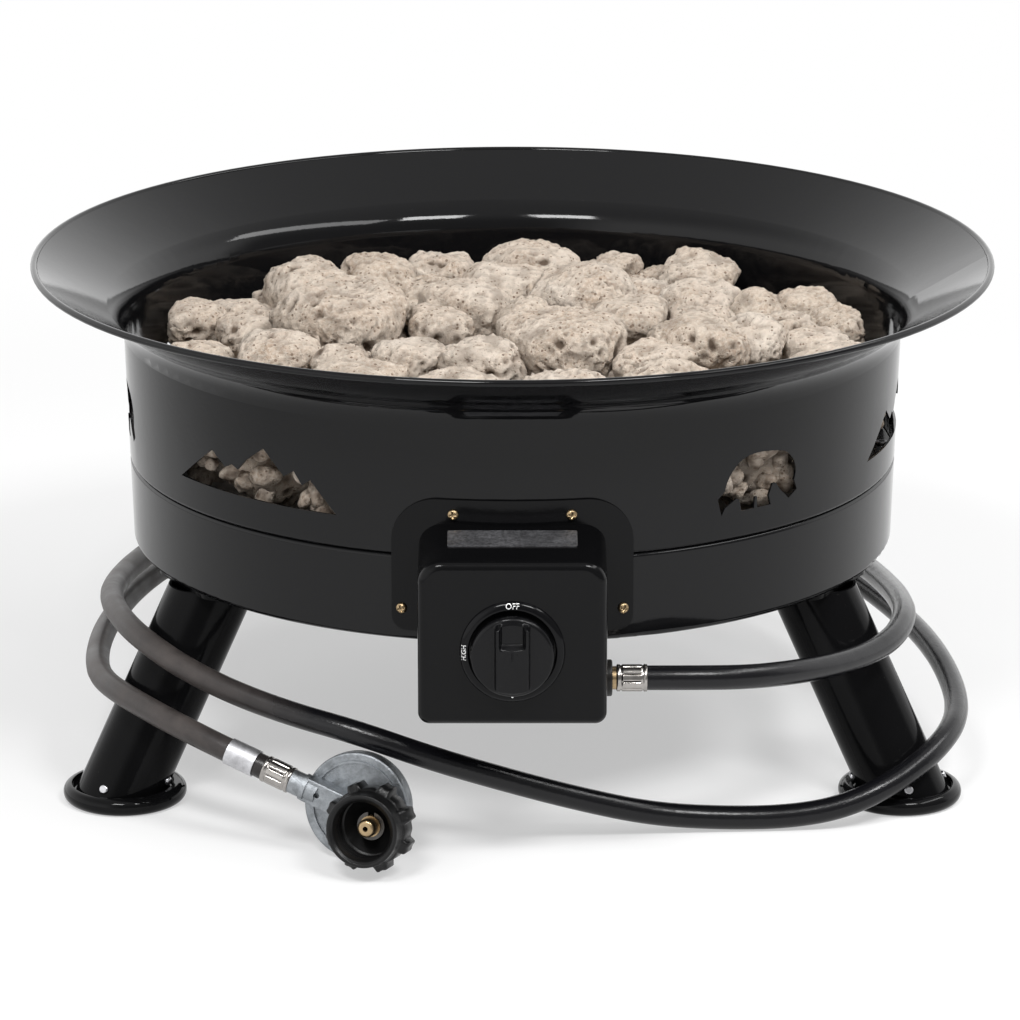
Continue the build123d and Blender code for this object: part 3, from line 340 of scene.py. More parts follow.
def makeLavaRock(s):
    # Pale pumice. The mesh carries a tone for each rock and, for each point, a depth of painted shade from
    # pits, cracks and creases
    material, tree, shader = newMaterial("lavaRock", s["color"], s["roughness"])
    tone = addNode(tree, "ShaderNodeAttribute", set_attribute_name="rockTone")
    pit = addNode(tree, "ShaderNodeAttribute", set_attribute_name="rockPaintedShade")
    patch = noiseOn(tree, Scale=38.0, Detail=6.0, Roughness=0.62)
    grain = noiseOn(tree, Scale=420.0, Detail=4.0, Roughness=0.7)
    rough = noiseOn(tree, Scale=420.0, Detail=6.0, Roughness=0.75)
    pores = cellsOn(tree, Scale=s["pores"]["scale"])
    holes = cellsOn(tree, Scale=s["holes"]["scale"])
    pale = mixColors(tree, tone.outputs["Fac"], *s["tones"])
    stained = mixColors(tree, ramp(tree, patch, s["stain"]["span"]), pale, s["stain"]["color"])
    grained = mixColors(tree, ramp(tree, grain, s["grain"]["span"]), stained, s["grain"]["color"])
    # Painted shade: pores and holes are darker where the bump sinks them
    small = combine(tree, "LESS_THAN", pores, s["pores"]["reach"])
    wide = combine(tree, "LESS_THAN", holes, combine(tree, "MULTIPLY", patch, s["holes"]["reach"]))
    pored = mixColors(tree, combine(tree, "MAXIMUM", small, wide), grained, s["paintedPoreShade"])
    # Painted shade: the colour darkens with each point's depth in a pit, crack or crease
    pitted = mixColors(tree, pit.outputs["Fac"], pored, s["paintedPitShade"])
    tree.links.new(pitted, shader.inputs["Base Color"])
    shader.inputs["Specular IOR Level"].default_value = s["shine"]
    sunk = combine(tree, "MINIMUM", pores, s["pores"]["depth"])
    sunken = combine(tree, "MINIMUM", holes, s["holes"]["depth"])
    height = combine(tree, "ADD", rough, combine(tree, "ADD", sunk, sunken))
    addBump(tree, shader, height, s["relief"])
    return material


rubber = {
    "color": (0.006, 0.006, 0.007),
    "roughness": 0.16,
    "roughSpan": (0.2, 0.7),
    "shine": 0.3,
    "tones": ((0.004, 0.004, 0.005), (0.085, 0.072, 0.066)),
    "dustFrom": (-0.12, -0.2),
    "skin": {"Scale": 900.0, "Wave": 90.0, "Wave Share": 1.2},
    "relief": 0.00012,
}


def makeHoseRubber(s):
    # Black rubber with a soft sheen. It is dustier on the left, where it rubs the leg
    material, tree, shader = newMaterial("hoseRubber", s["color"], s["roughness"])
    split = onObject(tree, "ShaderNodeSeparateXYZ")
    side = ramp(tree, split.outputs["X"], s["dustFrom"])
    dust = combine(tree, "MULTIPLY", noiseOn(tree, Scale=55.0, Detail=6.0, Roughness=0.65), side)
    shader.inputs["Specular IOR Level"].default_value = s["shine"]
    tree.links.new(mixColors(tree, dust, *s["tones"]), shader.inputs["Base Color"])
    tree.links.new(ramp(tree, dust, (0.0, 1.0), s["roughSpan"]), shader.inputs["Roughness"])
    addBump(tree, shader, place(tree, skin, s["skin"]), s["relief"])
    return material


finishes = {
    "enamel": makeCoat("enamel", paint, (0.004, 0.004, 0.0044), 0.05, 0.11, 0.00003, 0.22),
    "leg_enamel": makeCoat("legEnamel", paint, (0.0035, 0.0035, 0.0038), 0.06, 0.12, 0.00004, 0.07),
    "foot_enamel": makeCoat("footEnamel", paint, (0.0035, 0.0035, 0.0038), 0.05, 0.1, 0.00004, 0.13),
    "box_enamel": makeCoat("boxEnamel", paint, (0.003, 0.003, 0.0033), 0.07, 0.14, 0.00004, 0.13),
    "steel": makeMetal("heatedSteel", (0.20, 0.19, 0.18), 0.35, 0.6, 0.00006),
    "stainless": makeMetal("strawStainless", (0.50, 0.46, 0.38), 0.25, 0.45, 0.00004),
    "screw_steel": makeMetal("zincPlate", (0.60, 0.60, 0.62), 0.22, 0.4, 0.00003),
    "lava_rock": makeLavaRock(pumice),
    "bright_plate": makeMetal("brightStrip", (0.42, 0.42, 0.44), 0.42, 0.62, 0.00014, 420.0, 0.4),
    "brass": makeMetal("turnedBrass", (0.42, 0.31, 0.18), 0.22, 0.4, 0.00004),
    "dial": makeCoat("dialPaint", paint, (0.003, 0.003, 0.0035), 0.07, 0.12, 0.00003, 0.14),
    "knob_plastic": makeCoat("knobPlastic", plastic, (0.003, 0.003, 0.0035), 0.16, 0.26, 0.00004, 0.18),
    "spring_steel": makeMetal("springSteel", (0.10, 0.095, 0.09), 0.3, 0.45, 0.00002),
    "valve_alloy": makeMetal("valveAlloy", (0.55, 0.55, 0.56), 0.35, 0.5, 0.00006),
    "black_nut": makeCoat("blackOxide", plastic, (0.01, 0.009, 0.008), 0.3, 0.45, 0.00004, 0.25),
    "ferrule": makeMetal("crimpedFerrule", (0.40, 0.38, 0.36), 0.14, 0.28, 0.00004),
    "hose_rubber": makeHoseRubber(rubber),
    "sleeve_plastic": makeMetal("paleSleeve", (0.60, 0.60, 0.62), 0.36, 0.52, 0.00008, 130.0, 0.66),
    "regulator_zinc": makeMetal("castZinc", (0.34, 0.36, 0.38), 0.4, 0.58, 0.00022, 160.0, 0.6),
    "diaphragm": makeCoat("diaphragmRubber", plastic, (0.02, 0.02, 0.02), 0.5, 0.7, 0.00004, 0.35),
    "dial_print": newMaterial("dialPrint", (0.80, 0.80, 0.79), 0.5)[0],
    "nut_plastic": makeCoat("nutPlastic", plastic, (0.005, 0.005, 0.0052), 0.26, 0.38, 0.00008, 0.24),
}

ownFinish = {"foot_rivets": "screw_steel"}
for side in ("left", "right", "rear"):
    ownFinish.update({"leg_" + side: "leg_enamel", "foot_" + side: "foot_enamel"})
for part in frame["record"]["subparts"]:
    node = cadNodes[part["node"]]
    node.data.materials.clear()
    node.data.materials.append(finishes[ownFinish.get(part["node"], part["material_slot"])])
print("finishes made:", len(finishes))


# The gas hose: the route is the hose tube's own, in metres

hoseSet = {
    "diameter": 0.015,
    "length": 3.241,
    "exit": (0.0805, -0.264, 0.121),
    "route": [
        (0.0805, -0.264, 0.121), (0.1095, -0.264, 0.121), (0.140, -0.254, 0.118), (0.168, -0.231, 0.113),
        (0.194, -0.203, 0.108), (0.218, -0.173, 0.105), (0.237, -0.142, 0.106), (0.247, -0.103, 0.108),
        (0.246, -0.054, 0.104), (0.241, -0.004, 0.098), (0.231, 0.050, 0.093), (0.212, 0.110, 0.089),
        (0.182, 0.170, 0.087), (0.138, 0.226, 0.087), (0.086, 0.270, 0.087), (0.030, 0.294, 0.087),
        (-0.032, 0.294, 0.087), (-0.092, 0.270, 0.087), (-0.150, 0.226, 0.087), (-0.198, 0.174, 0.088),
        (-0.232, 0.120, 0.088), (-0.251, 0.066, 0.088), (-0.257, 0.014, 0.093), (-0.257, -0.038, 0.101),
        (-0.250, -0.090, 0.107), (-0.234, -0.140, 0.108), (-0.206, -0.176, 0.100), (-0.172, -0.199, 0.090),
        (-0.134, -0.218, 0.082), (-0.094, -0.237, 0.077), (-0.050, -0.241, 0.062), (-0.006, -0.231, 0.045),
        (0.038, -0.218, 0.028), (0.084, -0.205, 0.013), (0.128, -0.199, 0.008), (0.170, -0.197, 0.008),
        (0.204, -0.196, 0.014), (0.234, -0.185, 0.025), (0.258, -0.163, 0.035), (0.274, -0.135, 0.042),
        (0.281, -0.102, 0.045), (0.281, -0.066, 0.049), (0.275, -0.020, 0.054), (0.264, 0.032, 0.056),
        (0.248, 0.084, 0.057), (0.227, 0.136, 0.059), (0.196, 0.188, 0.061), (0.152, 0.238, 0.062),
        (0.098, 0.284, 0.063), (0.034, 0.312, 0.064), (-0.034, 0.314, 0.064), (-0.098, 0.290, 0.065),
        (-0.152, 0.248, 0.066), (-0.197, 0.196, 0.066), (-0.230, 0.142, 0.066), (-0.249, 0.088, 0.066),
        (-0.259, 0.034, 0.067), (-0.264, -0.020, 0.069), (-0.264, -0.074, 0.071), (-0.258, -0.124, 0.074),
        (-0.239, -0.167, 0.076), (-0.1939, -0.2208, 0.0705), (-0.1496, -0.2376, 0.0543),
    ],
}


def addHose(s):
    curve = bpy.data.curves.new("gasHose", "CURVE")
    curve.dimensions = "3D"
    curve.resolution_u = 8
    curve.bevel_depth = s["diameter"] / 2
    curve.bevel_resolution = 7
    curve.use_fill_caps = True
    spline = curve.splines.new("NURBS")
    spline.points.add(len(s["route"]) - 1)
    for point, (x, y, z) in zip(spline.points, s["route"]):
        point.co = (x, y, z, 1)
    spline.order_u = 3
    spline.use_endpoint_u = True
    hose = bpy.data.objects.new("gasHose", curve)
    scene.collection.objects.link(hose)
    curve.materials.append(finishes["hose_rubber"])
    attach(hose, "stand")
    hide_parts("gas_hose")
    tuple(s["exit"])


addHose(hoseSet)
print("hose laid")


# Small solids. Turned shapes and the shapes below are closed, with their normals outwards


def outwards(mesh):
    # Closes a mesh whose sides came apart, and turns its faces outwards
    shape = bmesh.new()
    shape.from_mesh(mesh)
    bmesh.ops.remove_doubles(shape, verts=shape.verts, dist=1e-7)
    bmesh.ops.recalc_face_normals(shape, faces=shape.faces)
    shape.to_mesh(mesh)
    shape.free()


def closedMesh(name, points, faces):
    mesh = meshFrom(name, points, faces)
    shape = bmesh.new()
    shape.from_mesh(mesh)
    if shape.calc_volume(signed=True) < 0:
        bmesh.ops.reverse_faces(shape, faces=shape.faces)
        shape.to_mesh(mesh)
    shape.free()
    return mesh


def tube(rows):
    # Rows of equally many points, joined round and from the last row to the first
    count, points, faces = len(rows[0]), [], []
    for row in rows:
        points += row
    for i in range(len(rows)):
        for j in range(count):
            k = (j + 1) % count
            low, high = i * count, (i + 1) % len(rows) * count
            faces.append((low + j, low + k, high + k, high + j))
    return points, faces


def inFrame(origin, across, up, out, x, y, z):
    return Vector(origin) + across * x + up * y + out * z


def softStep(value):
    value = min(1.0, max(0.0, value))
    return value * value * (3 - 2 * value)


# Dial and knob. The dial's face lies on the box's front and looks towards -Y

dialSet = {
    "middle": (0.0, -0.297, 0.1485),
    "ring": {"inner": 0.0254, "lip": 0.0264, "outer": 0.0312, "height": 0.0031, "steps": 28},
    "words": [
        {"text": "OFF", "size": 0.0047, "at": (0.0, 0.0286), "turn": 0},
        {"text": "HIGH", "size": 0.0040, "at": (-0.0286, 0.0), "turn": 90},
    ],
    "pip": {"at": (0.0, -0.0274), "reach": 0.0006, "sides": 24},
    "extrude": 0.001,
    "sunk": 0.0006,
    "proud": 0.00014,
    "segments": 240,
}


def dialPoint(x, z, out):
    middle = dialSet["middle"]
    return Vector((middle[0] + x, middle[1] - out, middle[2] + z))


def ringHeight(r):
    s = dialSet["ring"]
    if r < s["lip"]:
        return s["height"] * softStep((r - s["inner"]) / (s["lip"] - s["inner"]))
    t = min(1.0, (r - s["lip"]) / (s["outer"] - s["lip"]))
    return s["height"] * math.sqrt(max(0.0, 1 - t * t))


def printPoint(x, z, out):
    # Measured out from the ring's own face
    return dialPoint(x, z, ringHeight(math.hypot(x, z)) + out)


def addDialRing(s):
    ring, rows = s["ring"], []
    wide, steps = ring["outer"] - ring["inner"], ring["steps"]
    radii = [ring["inner"] + wide * k / steps for k in range(steps + 1)]
    profile = [(r, ringHeight(r)) for r in radii] + [(ring["outer"], -s["sunk"]), (ring["inner"], -s["sunk"])]
    turns = [math.tau * j / s["segments"] for j in range(s["segments"])]
    for r, out in profile:
        rows.append([dialPoint(r * math.cos(a), r * math.sin(a), out) for a in turns])
    piece = newPiece("dialRing", closedMesh("dialRing", *tube(rows)), finishes["dial"])
    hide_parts("dial_bezel")


def addDialPrint(name, mesh):
    outwards(mesh)
    piece = newPiece(name, mesh, finishes["dial_print"], smooth=False)
    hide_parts("dial_bezel")


def addDialWord(word, s):
    curve = bpy.data.curves.new("word", "FONT")
    curve.body = word["text"]
    curve.size = word["size"]
    curve.align_x = "CENTER"
    curve.align_y = "CENTER"
    curve.resolution_u = 4
    curve.extrude = s["extrude"]
    piece = bpy.data.objects.new("word", curve)
    scene.collection.objects.link(piece)
    mesh = evaluated(piece)
    bpy.data.objects.remove(piece)
    turn = math.radians(word["turn"])
    for vert in mesh.vertices:
        x, y, z = vert.co
        px = word["at"][0] + x * math.cos(turn) - y * math.sin(turn)
        pz = word["at"][1] + x * math.sin(turn) + y * math.cos(turn)
        vert.co = printPoint(px, pz, s["proud"] if z > 0 else -s["sunk"])
    addDialPrint("dialWord" + word["text"].capitalize(), mesh)


def addDialPip(s):
    # A printed dot at the ring's bottom. It reaches down into the box
    (x, z), reach, count = s["pip"]["at"], s["pip"]["reach"], s["pip"]["sides"]
    turns = [math.tau * j / count for j in range(count)]
    spots = [(x + reach * math.cos(a), z + reach * math.sin(a)) for a in turns]
    low = [dialPoint(px, pz, -s["sunk"]) for px, pz in spots]
    high = [printPoint(px, pz, s["proud"]) for px, pz in spots]
    points, faces = tube([low, high])
    faces = faces[:count] + [range(count), range(2 * count - 1, count - 1, -1)]
    addDialPrint("dialPip", meshFrom("dialPip", points, faces))


# Heights are measured out from the knob's back, each edge as (where it ends, how wide it is)

knobSet = {
    "back": 0.0077,
    "radius": 0.0248,
    "rings": 70,
    "segments": 240,
    "dome": {"height": 0.0046, "rise": 0.0012, "reach": 0.025},
    "rim": {"start": 0.0222, "width": 0.0026, "drop": 0.0024},
    "bar": {"height": 0.0113, "hollow": 0.0017, "reach": 0.0088, "side": (0.0108, 0.0016),
            "end": (0.0226, 0.0022)},
    "scoop": {"side": (0.0082, 0.0024), "foot": (-0.0058, 0.0036), "floor": 0.0004, "share": 0.9},
    "tab": {"side": (0.0042, 0.0007), "top": (0.0066, 0.0007), "foot": (0.0022, 0.0007), "height": 0.0005},
    "window": {"side": (0.0031, 0.0006), "top": (0.0054, 0.0006)},
    "line": {"side": (0.0005, 0.0003), "top": (0.0052, 0.0005), "foot": (0.0012, 0.0005)},
}


def within(value, edge):
    return softStep((edge[0] - value) / edge[1])


def knobHeight(x, z):
    # The knob's face: a shallow dome, a hollowed bar between two ridges and a scoop at its top
    s = knobSet
    r, across = math.hypot(x, z), abs(x)
    edge = max(0.0, (r - s["rim"]["start"]) / s["rim"]["width"])
    dome = s["dome"]["height"] + s["dome"]["rise"] * (1 - (r / s["dome"]["reach"]) ** 2)
    dome -= s["rim"]["drop"] * (1 - math.sqrt(max(0.0, 1 - edge * edge)))
    bar = s["bar"]["height"] - s["bar"]["hollow"] * (1 - min(1.0, across / s["bar"]["reach"]) ** 2)
    height = dome + (bar - dome) * within(across, s["bar"]["side"]) * within(r, s["bar"]["end"])
    scoop = within(across, s["scoop"]["side"]) * within(-z, s["scoop"]["foot"])
    height -= (height - dome - s["scoop"]["floor"]) * scoop * s["scoop"]["share"]
    tab = within(across, s["tab"]["side"]) * within(z, s["tab"]["top"]) * within(-z, s["tab"]["foot"])
    window = within(across, s["window"]["side"]) * within(z, s["window"]["top"])
    line = within(across, s["line"]["side"]) * within(z, s["line"]["top"]) * within(-z, s["line"]["foot"])
    return height + s["tab"]["height"] * tab * (1 - window + line)


def addKnob(s):
    rows, count = [], s["segments"]
    turns = [math.tau * j / count for j in range(count)]
    for i in range(1, s["rings"] + 1):
        r = s["radius"] * i / s["rings"]
        spots = [(r * math.cos(a), r * math.sin(a)) for a in turns]
        rows.append([dialPoint(x, z, s["back"] + knobHeight(x, z)) for x, z in spots])
    rows.append([dialPoint(x, z, s["back"]) for x, z in spots])
    points, faces = tube(rows)
    faces = faces[:-count]
    front, last = len(points), len(points) - count
    points += [dialPoint(0, 0, s["back"] + knobHeight(0, 0)), dialPoint(0, 0, s["back"])]
    for j in range(count):
        k = (j + 1) % count
        faces += [(front, k, j), (front + 1, last + j, last + k)]
    mesh = closedMesh("knobShell", points, faces)
    piece = newPiece("knobShell", mesh, finishes["knob_plastic"], body="knob")
    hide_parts("knob")


addDialRing(dialSet)
for word in dialSet["words"]:
    addDialWord(word, dialSet)
addDialPip(dialSet)
addKnob(knobSet)
print("dial and knob made")


# Regulator's coupling nut, in the regulator's own frame

nutSet = {
    "turn": 18.0,
    "lean": 8.0,
    "centre": (0.01702, -0.00586),
    "origin": (-0.0945, -0.250, 0.03405),
    "lobes": 8,
    "segments": 320,
    "back": 0.014,
    "front": 0.0385,
    "valley": 0.0240,
    "reach": 0.0275,
    # Radius and distance from the back
    "floor": [(0.0103, 0.0), (0.0103, 0.0023), (0.0067, 0.0024), (0.0067, 0.0057), (0.0166, 0.0059)],
    "thread": {"crest": 0.0176, "root": 0.0193, "pitch": 0.0042, "turns": 4, "lead": 0.0002, "end": 0.0015,
               "profile": ((0.02, "crest"), (0.28, "root"), (0.62, "root"), (0.88, "crest"))},
    # Radius, distance from the front and the share of the lobes, then the same from the back
    "mouth": [(0.0194, 0.0012, 0), (0.0200, 0.0003, 0), (0.0204, 0.0, 0), (0.0217, 0.0, 0),
              (0.0223, 0.0004, 0), (0.0224, 0.0012, 0), (0.0224, 0.0072, 0), (0.0231, 0.0082, 0),
              (0.0224, 0.0096, 0.35), (0.0234, 0.0104, 0.8), (0.0240, 0.0114, 1.0)],
    "heel": [(0.0240, 0.0012, 1.0), (0.0230, 0.0, 0.85)],
    # Widths in shares of the way from one lobe to the next
    "lobe": {"half": 0.27, "flank": 0.13, "foot": 0.3, "footFlank": 0.2},
    "groove": {"depth": 0.12, "half": 0.10, "flank": 0.07},
}


def regulatorFrame(s):
    turn, lean = math.radians(s["turn"]), math.radians(s["lean"])
    out = Vector((-math.sin(turn) * math.cos(lean), -math.cos(turn) * math.cos(lean), math.sin(lean)))
    across = Vector((math.cos(turn), -math.sin(turn), 0))
    return across, out.cross(across), out


def lobeShare(angle, s):
    # 1 on a lobe's top, less in the shallow groove along its middle, and low in the valley between two
    lobe, groove = s["lobe"], s["groove"]
    away = abs((angle * s["lobes"] / math.tau) % 1.0 - 0.5)
    top = softStep((lobe["half"] - away) / lobe["flank"])
    grooved = groove["depth"] * softStep((groove["half"] - away) / groove["flank"])
    foot = groove["depth"] * softStep((away - lobe["foot"]) / lobe["footFlank"])
    return top * (1 - grooved) + foot


def nutRows(s):
    back, front, thread = s["back"], s["front"], s["thread"]
    rows = [(r, back + w, 0) for r, w in s["floor"]]
    start = front - thread["end"] - thread["pitch"] * thread["turns"]
    rows.append((rows[-1][0], start - thread["lead"], 0))
    for k in range(thread["turns"]):
        for part, kind in thread["profile"]:
            rows.append((thread[kind], start + thread["pitch"] * (k + part), 0))
    rows += [(r, front - w, share) for r, w, share in s["mouth"]]
    return rows + [(r, back + w, share) for r, w, share in s["heel"]]


def addNut(s):
    axes = regulatorFrame(s)
    centre, rows = s["centre"], []
    for r, w, share in nutRows(s):
        row = []
        for j in range(s["segments"]):
            a = math.tau * j / s["segments"]
            reach = r + (s["reach"] - s["valley"]) * lobeShare(a, s) * share
            x, y = centre[0] + reach * math.cos(a), centre[1] + reach * math.sin(a)
            row.append(inFrame(s["origin"], *axes, x, y, w))
        rows.append(row)
    mesh = closedMesh("couplingNut", *tube(rows))
    piece = newPiece("couplingNut", mesh, finishes["nut_plastic"], body="coupling_nut")
    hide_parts("coupling_nut")


addNut(nutSet)
print("coupling nut made")


# Crimped ferrules: a collar at each end and lengthwise grooves between them

ferruleSet = {
    "radius": 0.0082,
    "length": 0.0185,
    "bore": 0.00755,
    "neck": 0.0045,
    "floor": 0.0014,
    "segments": 160,
    "grooves": {"count": 10, "depth": 0.0008, "start": 0.33, "flank": 0.1},
    # What is added to the radius, how far from that end, and the share of the grooves
    "near": [(-0.0006, 0.0, 0), (0.0, 0.0006, 0), (0.0, 0.0021, 0), (-0.0006, 0.0025, 0),
             (-0.0006, 0.0031, 0), (-0.0001, 0.0035, 0.2), (0.0, 0.0044, 1)],
    "far": [(0.0, 0.0040, 1), (-0.0001, 0.0032, 0.2), (-0.0005, 0.0029, 0), (-0.0005, 0.0024, 0),
            (0.0001, 0.0020, 0), (0.0001, 0.0004, 0), (-0.0003, 0.0, 0)],
}


def ferruleRows(s):
    long, r = s["length"], s["radius"]
    rows = [(s["neck"], 0.0, 0)] + [(r + more, t, share) for more, t, share in s["near"]]
    rows += [(r + more, long - t, share) for more, t, share in s["far"]]
    return rows + [(s["bore"], long, 0), (s["bore"], s["floor"], 0), (s["neck"], s["floor"], 0)]


def addFerrule(name, node, start, along, s):
    start, along = Vector(start), Vector(along).normalized()
    side = along.cross(Vector((0, 0, 1))).normalized()
    up = side.cross(along)
    grooves, rows = s["grooves"], []
    for r, t, share in ferruleRows(s):
        row = []
        for j in range(s["segments"]):
            a = math.tau * j / s["segments"]
            away = abs((a * grooves["count"] / math.tau) % 1.0 - 0.5)
            reach = r - grooves["depth"] * share * softStep((away - grooves["start"]) / grooves["flank"])
            row.append(inFrame(start, side, up, along, reach * math.cos(a), reach * math.sin(a), t))
        rows.append(row)
    piece = newPiece(name, closedMesh(name, *tube(rows)), finishes["ferrule"])
    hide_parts(node)


outletSet = {"turn": 19.0, "reach": 0.041, "out": 0.008}


def outletFrame(s):
    # Where the outlet ferrule starts, and which way it runs
    across, up, out = regulatorFrame(nutSet)
    turn = math.radians(s["turn"])
    along = across * -math.cos(turn) + up * math.sin(turn)
    return Vector(nutSet["origin"]) + along * s["reach"] + out * s["out"], along


addFerrule("inletFerrule", "inlet_ferrule", (0.062, -0.264, 0.121), (1, 0, 0), ferruleSet)
addFerrule("outletFerrule", "outlet_ferrule", *outletFrame(outletSet), ferruleSet)
print("ferrules made")


# Box screws, one head repeated by Geometry Nodes on points taken from the CAD screws

screwSet = {
    "Head Radius": 0.0034,
    "Head Height": 0.0021,
    "Recess": 1.0,
    "Shank Radius": 0.0019,
    "Shank Length": 0.008,
}

# The cross in the head, in shares of the head's radius and height

crossSet = {"long": 1.25, "wide": 0.34, "top": 2.1}


def headedPieces():
    group = bpy.data.node_groups.new("headedPieces", "GeometryNodeTree")
    face = group.interface
    face.new_socket(name="Points", in_out="INPUT", socket_type="NodeSocketGeometry")
    for label in screwSet:
        face.new_socket(name=label, in_out="INPUT", socket_type="NodeSocketFloat")
    face.new_socket(name="Finish", in_out="INPUT", socket_type="NodeSocketMaterial")
    face.new_socket(name="Geometry", in_out="OUTPUT", socket_type="NodeSocketGeometry")
    enter, leave = group.nodes.new("NodeGroupInput").outputs, group.nodes.new("NodeGroupOutput").inputs
    radius, height = enter["Head Radius"], enter["Head Height"]

    def moved(shape, move=(None, None, None), size=(None, None, None)):
        node = addNode(group, "GeometryNodeTransform", [("Geometry", shape)])
        for label, values in (("Translation", move), ("Scale", size)):
            links = [(i, v) for i, v in enumerate(values) if v is not None]
            if links:
                parts = addNode(group, "ShaderNodeCombineXYZ", links)
                group.links.new(parts.outputs[0], node.inputs[label])
        return node.outputs[0]

    ball = addNode(group, "GeometryNodeMeshUVSphere", Segments=28, Rings=14, Radius=1.0)
    head = moved(ball.outputs["Mesh"], size=(radius, radius, height))
    sizes = [("Radius", enter["Shank Radius"]), ("Depth", enter["Shank Length"])]
    pin = addNode(group, "GeometryNodeMeshCylinder", sizes, Vertices=20)
    down = combine(group, "MULTIPLY", enter["Shank Length"], -0.5)
    shank = moved(pin.outputs["Mesh"], move=(None, None, down))
    left = combine(group, "ADD", combine(group, "MULTIPLY", enter["Recess"], -1.0), crossSet["top"])
    lift = combine(group, "MULTIPLY", height, left)
    slots = []
    for ways in (("long", "wide"), ("wide", "long")):
        cube = addNode(group, "GeometryNodeMeshCube")
        x, y = [combine(group, "MULTIPLY", radius, crossSet[way]) for way in ways]
        slots.append(moved(cube.outputs["Mesh"], move=(None, None, lift), size=(x, y, height)))
    whole = addNode(group, "GeometryNodeMeshBoolean", set_operation="UNION")
    for shape in (head, shank):
        group.links.new(shape, whole.inputs["Mesh 2"])
    links = [("Mesh 1", whole.outputs["Mesh"])]
    cut = addNode(group, "GeometryNodeMeshBoolean", links, set_operation="DIFFERENCE")
    for shape in slots:
        group.links.new(shape, cut.inputs["Mesh 2"])
    axis = addNode(group, "GeometryNodeInputNamedAttribute", set_data_type="FLOAT_VECTOR", Name="axis")
    links = [("Vector", axis.outputs["Attribute"])]
    turn = addNode(group, "FunctionNodeAlignRotationToVector", links, set_axis="Z")
    links = [("Points", enter["Points"]), ("Instance", cut.outputs["Mesh"]),
             ("Rotation", turn.outputs["Rotation"])]
    spread = addNode(group, "GeometryNodeInstanceOnPoints", links)
    real = addNode(group, "GeometryNodeRealizeInstances", [("Geometry", spread.outputs["Instances"])])
    links = [("Geometry", real.outputs["Geometry"]), ("Material", enter["Finish"])]
    painted = addNode(group, "GeometryNodeSetMaterial", links)
    group.links.new(painted.outputs["Geometry"], leave["Geometry"])
    return group


def addHeaded(name, node, slot, places, s):
    mesh = meshFrom(name, [p for p, way in places], [])
    axis = mesh.attributes.new("axis", "FLOAT_VECTOR", "POINT")
    axis.data.foreach_set("vector", [c for p, way in places for c in way])
    holder = bpy.data.objects.new(name, mesh)
    scene.collection.objects.link(holder)
    setup = holder.modifiers.new("repeat", "NODES")
    setup.node_group = headedPieces()
    for item in setup.node_group.interface.items_tree:
        if item.in_out == "INPUT" and item.name in s:
            setup[item.identifier] = s[item.name]
        elif item.name == "Finish":
            setup[item.identifier] = finishes[slot]
    plain = evaluated(holder)
    bpy.data.objects.remove(holder)
    piece = newPiece(name, plain, finishes[slot])
    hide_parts(node)
    print(name, len(plain.polygons), "faces")


def screwPlaces(node, height):
    # Each screw's axis runs out from the bowl's axis. The head's top stays where the CAD has it
    wallLean = 0.03
    for points, faces in cadSolids(node):
        middle = sum(points, Vector()) / len(points)
        way = Vector((middle.x, middle.y, -wallLean * math.hypot(middle.x, middle.y))).normalized()
        top = max(p.dot(way) for p in points)
        yield middle + way * (top - height - middle.dot(way)), way


screwSpots = list(screwPlaces("box_screws", screwSet["Head Height"]))
addHeaded("boxScrews", "box_screws", "brass", screwSpots, screwSet)


# Lava rocks, each grown from its solid, rounded, roughened and pitted

rockSet = {
    "lava_rocks_top": {"voxel": 0.0019, "pieces": 3, "swell": 0.985},
    "lava_rocks_bed": {"voxel": 0.0042, "pieces": 1, "swell": 1.08},
    "sink": {"front": 0.0, "back": 0.16, "depth": 0.0055},
    "lumps": ((30.0, 0.0040), (75.0, 0.0017), (190.0, 0.0013), (420.0, 0.0009)),
    "pits": ((62.0, 0.15, 0.0036), (150.0, 0.27, 0.0024), (330.0, 0.36, 0.0013)),
    # Lumps above this scale leave painted shade in the creases between them
    "crease": {"above": 60.0, "less": 0.12, "share": 0.8, "most": 0.5},
    "broken": {"scale": 26.0, "shift": (7, 3, 1), "gain": 2.6, "crag": 1.1, "less": 0.3},
    # The dark values set the strength of the painted shade in cracks and pits
    "crags": {"scale": 120.0, "size": 0.0026, "fold": 2.4, "level": 0.6, "crack": 0.30, "dark": 1.6},
    # Where pits crowd they are wider, deeper and darker by painted shade than these least shares
    "crowd": {"scale": 24.0, "gain": 0.7, "level": 0.3, "crag": 0.4},
    "least": {"reach": 0.02, "wide": 0.35, "deep": 0.3, "dark": 0.2},
    "seed": 11,
}


def roundedRock(points, faces, voxel, swell):
    middle = sum(points, Vector()) / len(points)
    mesh = meshFrom("rock", [middle + (p - middle) * swell for p in points], faces)
    piece = bpy.data.objects.new("rock", mesh)
    scene.collection.objects.link(piece)
    divide = piece.modifiers.new("divide", "SUBSURF")
    divide.levels = divide.render_levels = 2
    remesh = piece.modifiers.new("remesh", "REMESH")
    remesh.mode = "VOXEL"
    remesh.voxel_size = voxel
    result = evaluated(piece)
    bpy.data.objects.remove(piece)
    bpy.data.meshes.remove(mesh)
    return result


